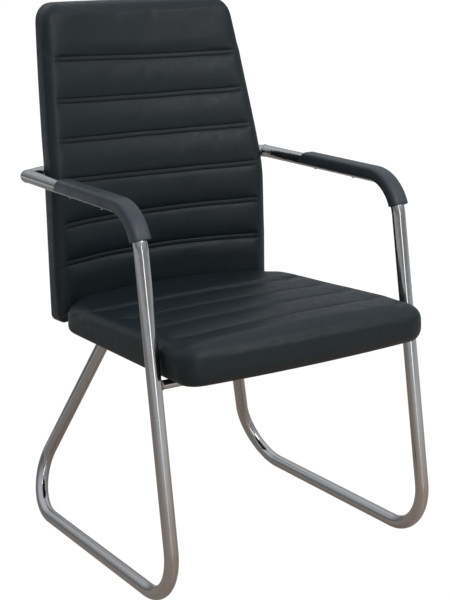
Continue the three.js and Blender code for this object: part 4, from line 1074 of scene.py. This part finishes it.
def add_world():
    """A white studio, brighter overhead and in front on the right, seen as plain white by the camera."""
    world = bpy.data.worlds.new("studio")
    bpy.context.scene.world = world
    world.use_nodes = True
    tree = world.node_tree
    background = tree.nodes["Background"]
    direction = add_node(tree, "ShaderNodeTexCoord")
    height = add_node(tree, "ShaderNodeSeparateXYZ", None, None, {0: direction.outputs["Generated"]})
    upward = add_node(tree, "ShaderNodeMapRange", {"interpolation_type": "SMOOTHSTEP"},
                      {"From Min": 0.0, "From Max": 0.8}, {"Value": height.outputs["Z"]})
    forward = add_node(tree, "ShaderNodeVectorMath", {"operation": "DOT_PRODUCT"}, {1: BRIGHT_SIDE},
                       {0: direction.outputs["Generated"]})
    wall = add_node(tree, "ShaderNodeMapRange", None,
                    {"From Min": -1, "From Max": 1, "To Min": DIM_WALL_LEVEL, "To Max": BRIGHT_WALL_LEVEL},
                    {"Value": forward.outputs["Value"]})
    lit = add_node(tree, "ShaderNodeMix", {"data_type": "FLOAT"}, {"B": CEILING_LEVEL},
                   {"Factor": upward.outputs["Result"], "A": wall.outputs["Result"]})
    share = background_share(tree, SHINY_WHITE_SHARE)
    level = add_node(tree, "ShaderNodeMix", {"data_type": "FLOAT"}, {"B": 1},
                     {"Factor": share, "A": lit.outputs["Result"]})
    tree.links.new(level.outputs["Result"], background.inputs["Strength"])
    tree.links.new(two_tones(tree, share, "#eef6ff", "#ffffff"), background.inputs["Color"])


def floor_tone_and_painted_shade(tree):
    """Painted shade: darker behind and pale in front on the right, where less and more light would fall; warm
    near the chair and pale far from it.
    """
    place = object_place(tree)
    forward = add_node(tree, "ShaderNodeVectorMath", {"operation": "DOT_PRODUCT"}, {1: BRIGHT_SIDE},
                       {0: place})
    side = add_node(tree, "ShaderNodeMapRange", {"interpolation_type": "SMOOTHSTEP"},
                    {"From Min": -FLOOR_SHADE_FADE, "From Max": FLOOR_SHADE_FADE, "To Min": 0, "To Max": 1},
                    {"Value": forward.outputs["Value"]})
    # Painted shade: the floor's colour is darker behind on the left, where less light would fall
    tone = two_tones(tree, side.outputs["Result"], "#7a746e", "#dadcde")
    away = add_node(tree, "ShaderNodeVectorMath", {"operation": "LENGTH"}, None, {0: place})
    near = add_node(tree, "ShaderNodeMapRange", {"interpolation_type": "SMOOTHSTEP"},
                    {"From Min": FLOOR_WARM_FROM, "From Max": FLOOR_WARM_TO, "To Min": 1, "To Max": 0},
                    {"Value": away.outputs["Value"]})
    warm = add_node(tree, "ShaderNodeMix", {"data_type": "RGBA", "blend_type": "MULTIPLY"},
                    {"B": linear("#e6c4ac")}, {"Factor": near.outputs["Result"], "A": tone})
    far = add_node(tree, "ShaderNodeMapRange", {"interpolation_type": "SMOOTHSTEP"},
                   {"From Min": FLOOR_PALE_FROM, "From Max": FLOOR_PALE_TO}, {"Value": away.outputs["Value"]})
    pale = add_node(tree, "ShaderNodeMix", {"data_type": "RGBA"}, {"B": linear("#e2e4e6")},
                    {"Factor": far.outputs["Result"], "A": warm.outputs["Result"]})
    return pale.outputs["Result"]


def pale_satin_floor():
    """Nearly white to the camera, with its own tones and painted shade, and its sheen, in the chrome."""
    material, tree, boards = new_material("pale_studio_floor", Roughness=0.32)
    tree.links.new(floor_tone_and_painted_shade(tree), boards.inputs["Base Color"])
    white = add_node(tree, "ShaderNodeEmission", None, {"Color": (1, 1, 1, 1), "Strength": FLOOR_WHITE})
    share = background_share(tree, SHINY_WHITE_SHARE, FLOOR_WHITE_SHARE)
    blend = add_node(tree, "ShaderNodeMixShader", None, None,
                     {0: share, 1: boards.outputs["BSDF"], 2: white.outputs["Emission"]})
    tree.links.new(blend.outputs["Shader"], tree.nodes["Material Output"].inputs["Surface"])
    return material


def add_floor():
    bpy.ops.object.select_all(action="DESELECT")
    bpy.ops.mesh.primitive_plane_add(size=FLOOR_SIZE, location=(0, 0, cad_box[0].z))
    floor = bpy.context.object
    floor.name = "studio_floor"
    floor.data.materials.append(pale_satin_floor())


def add_softbox(name, place, target, width, height, level):
    """A softbox whose face shines at the given level, where 1 is white."""
    data = bpy.data.lights.new(name, "AREA")
    data.shape = "RECTANGLE"
    data.size = width
    data.size_y = height
    data.energy = level * math.pi * width * height
    lamp = bpy.data.objects.new(name, data)
    lamp.location = place
    lamp.rotation_euler = (Vector(target) - Vector(place)).to_track_quat("-Z", "Y").to_euler()
    lamp.visible_camera = False
    bpy.context.scene.collection.objects.link(lamp)


def add_lamps():
    add_softbox("tall_front_softbox", place=(-1.0, -4.8, 1.2), target=(-0.1, 0, 0.6),
                width=0.9, height=2.4, level=3)
    add_softbox("front_ceiling_softbox", place=(0.5, -2.6, 2.6), target=(0.3, -1.4, 0),
                width=2.2, height=1.6, level=4.5)


add_camera()
finish_cad_nodes()
for side_sign, side_name in ((-1, "left"), (1, "right")):
    side_tube(side_sign, side_name)
    arm_pad(side_sign, side_name)
    elbow_bead(side_sign, side_name)
    front_bar_bead(side_sign, side_name)
rear_arm_crossbar()
straight_bar("front_seat_crossbar_polished", Vector((-FRAME_X, SEAT_BAR_Y, SEAT_BAR_Z)),
             Vector((FRAME_X, SEAT_BAR_Y, SEAT_BAR_Z)), "front_seat_crossbar")
straight_bar("rear_seat_crossbar_polished", Vector((-RAIL_X, REAR_BAR_Y, RAIL_Z)),
             Vector((RAIL_X, REAR_BAR_Y, RAIL_Z)), "rear_seat_crossbar")
seat_cushion()
back_cushion()
back_rear_cover()
add_world()
add_floor()
add_lamps()

scene = bpy.context.scene
scene.view_settings.view_transform = "Standard"
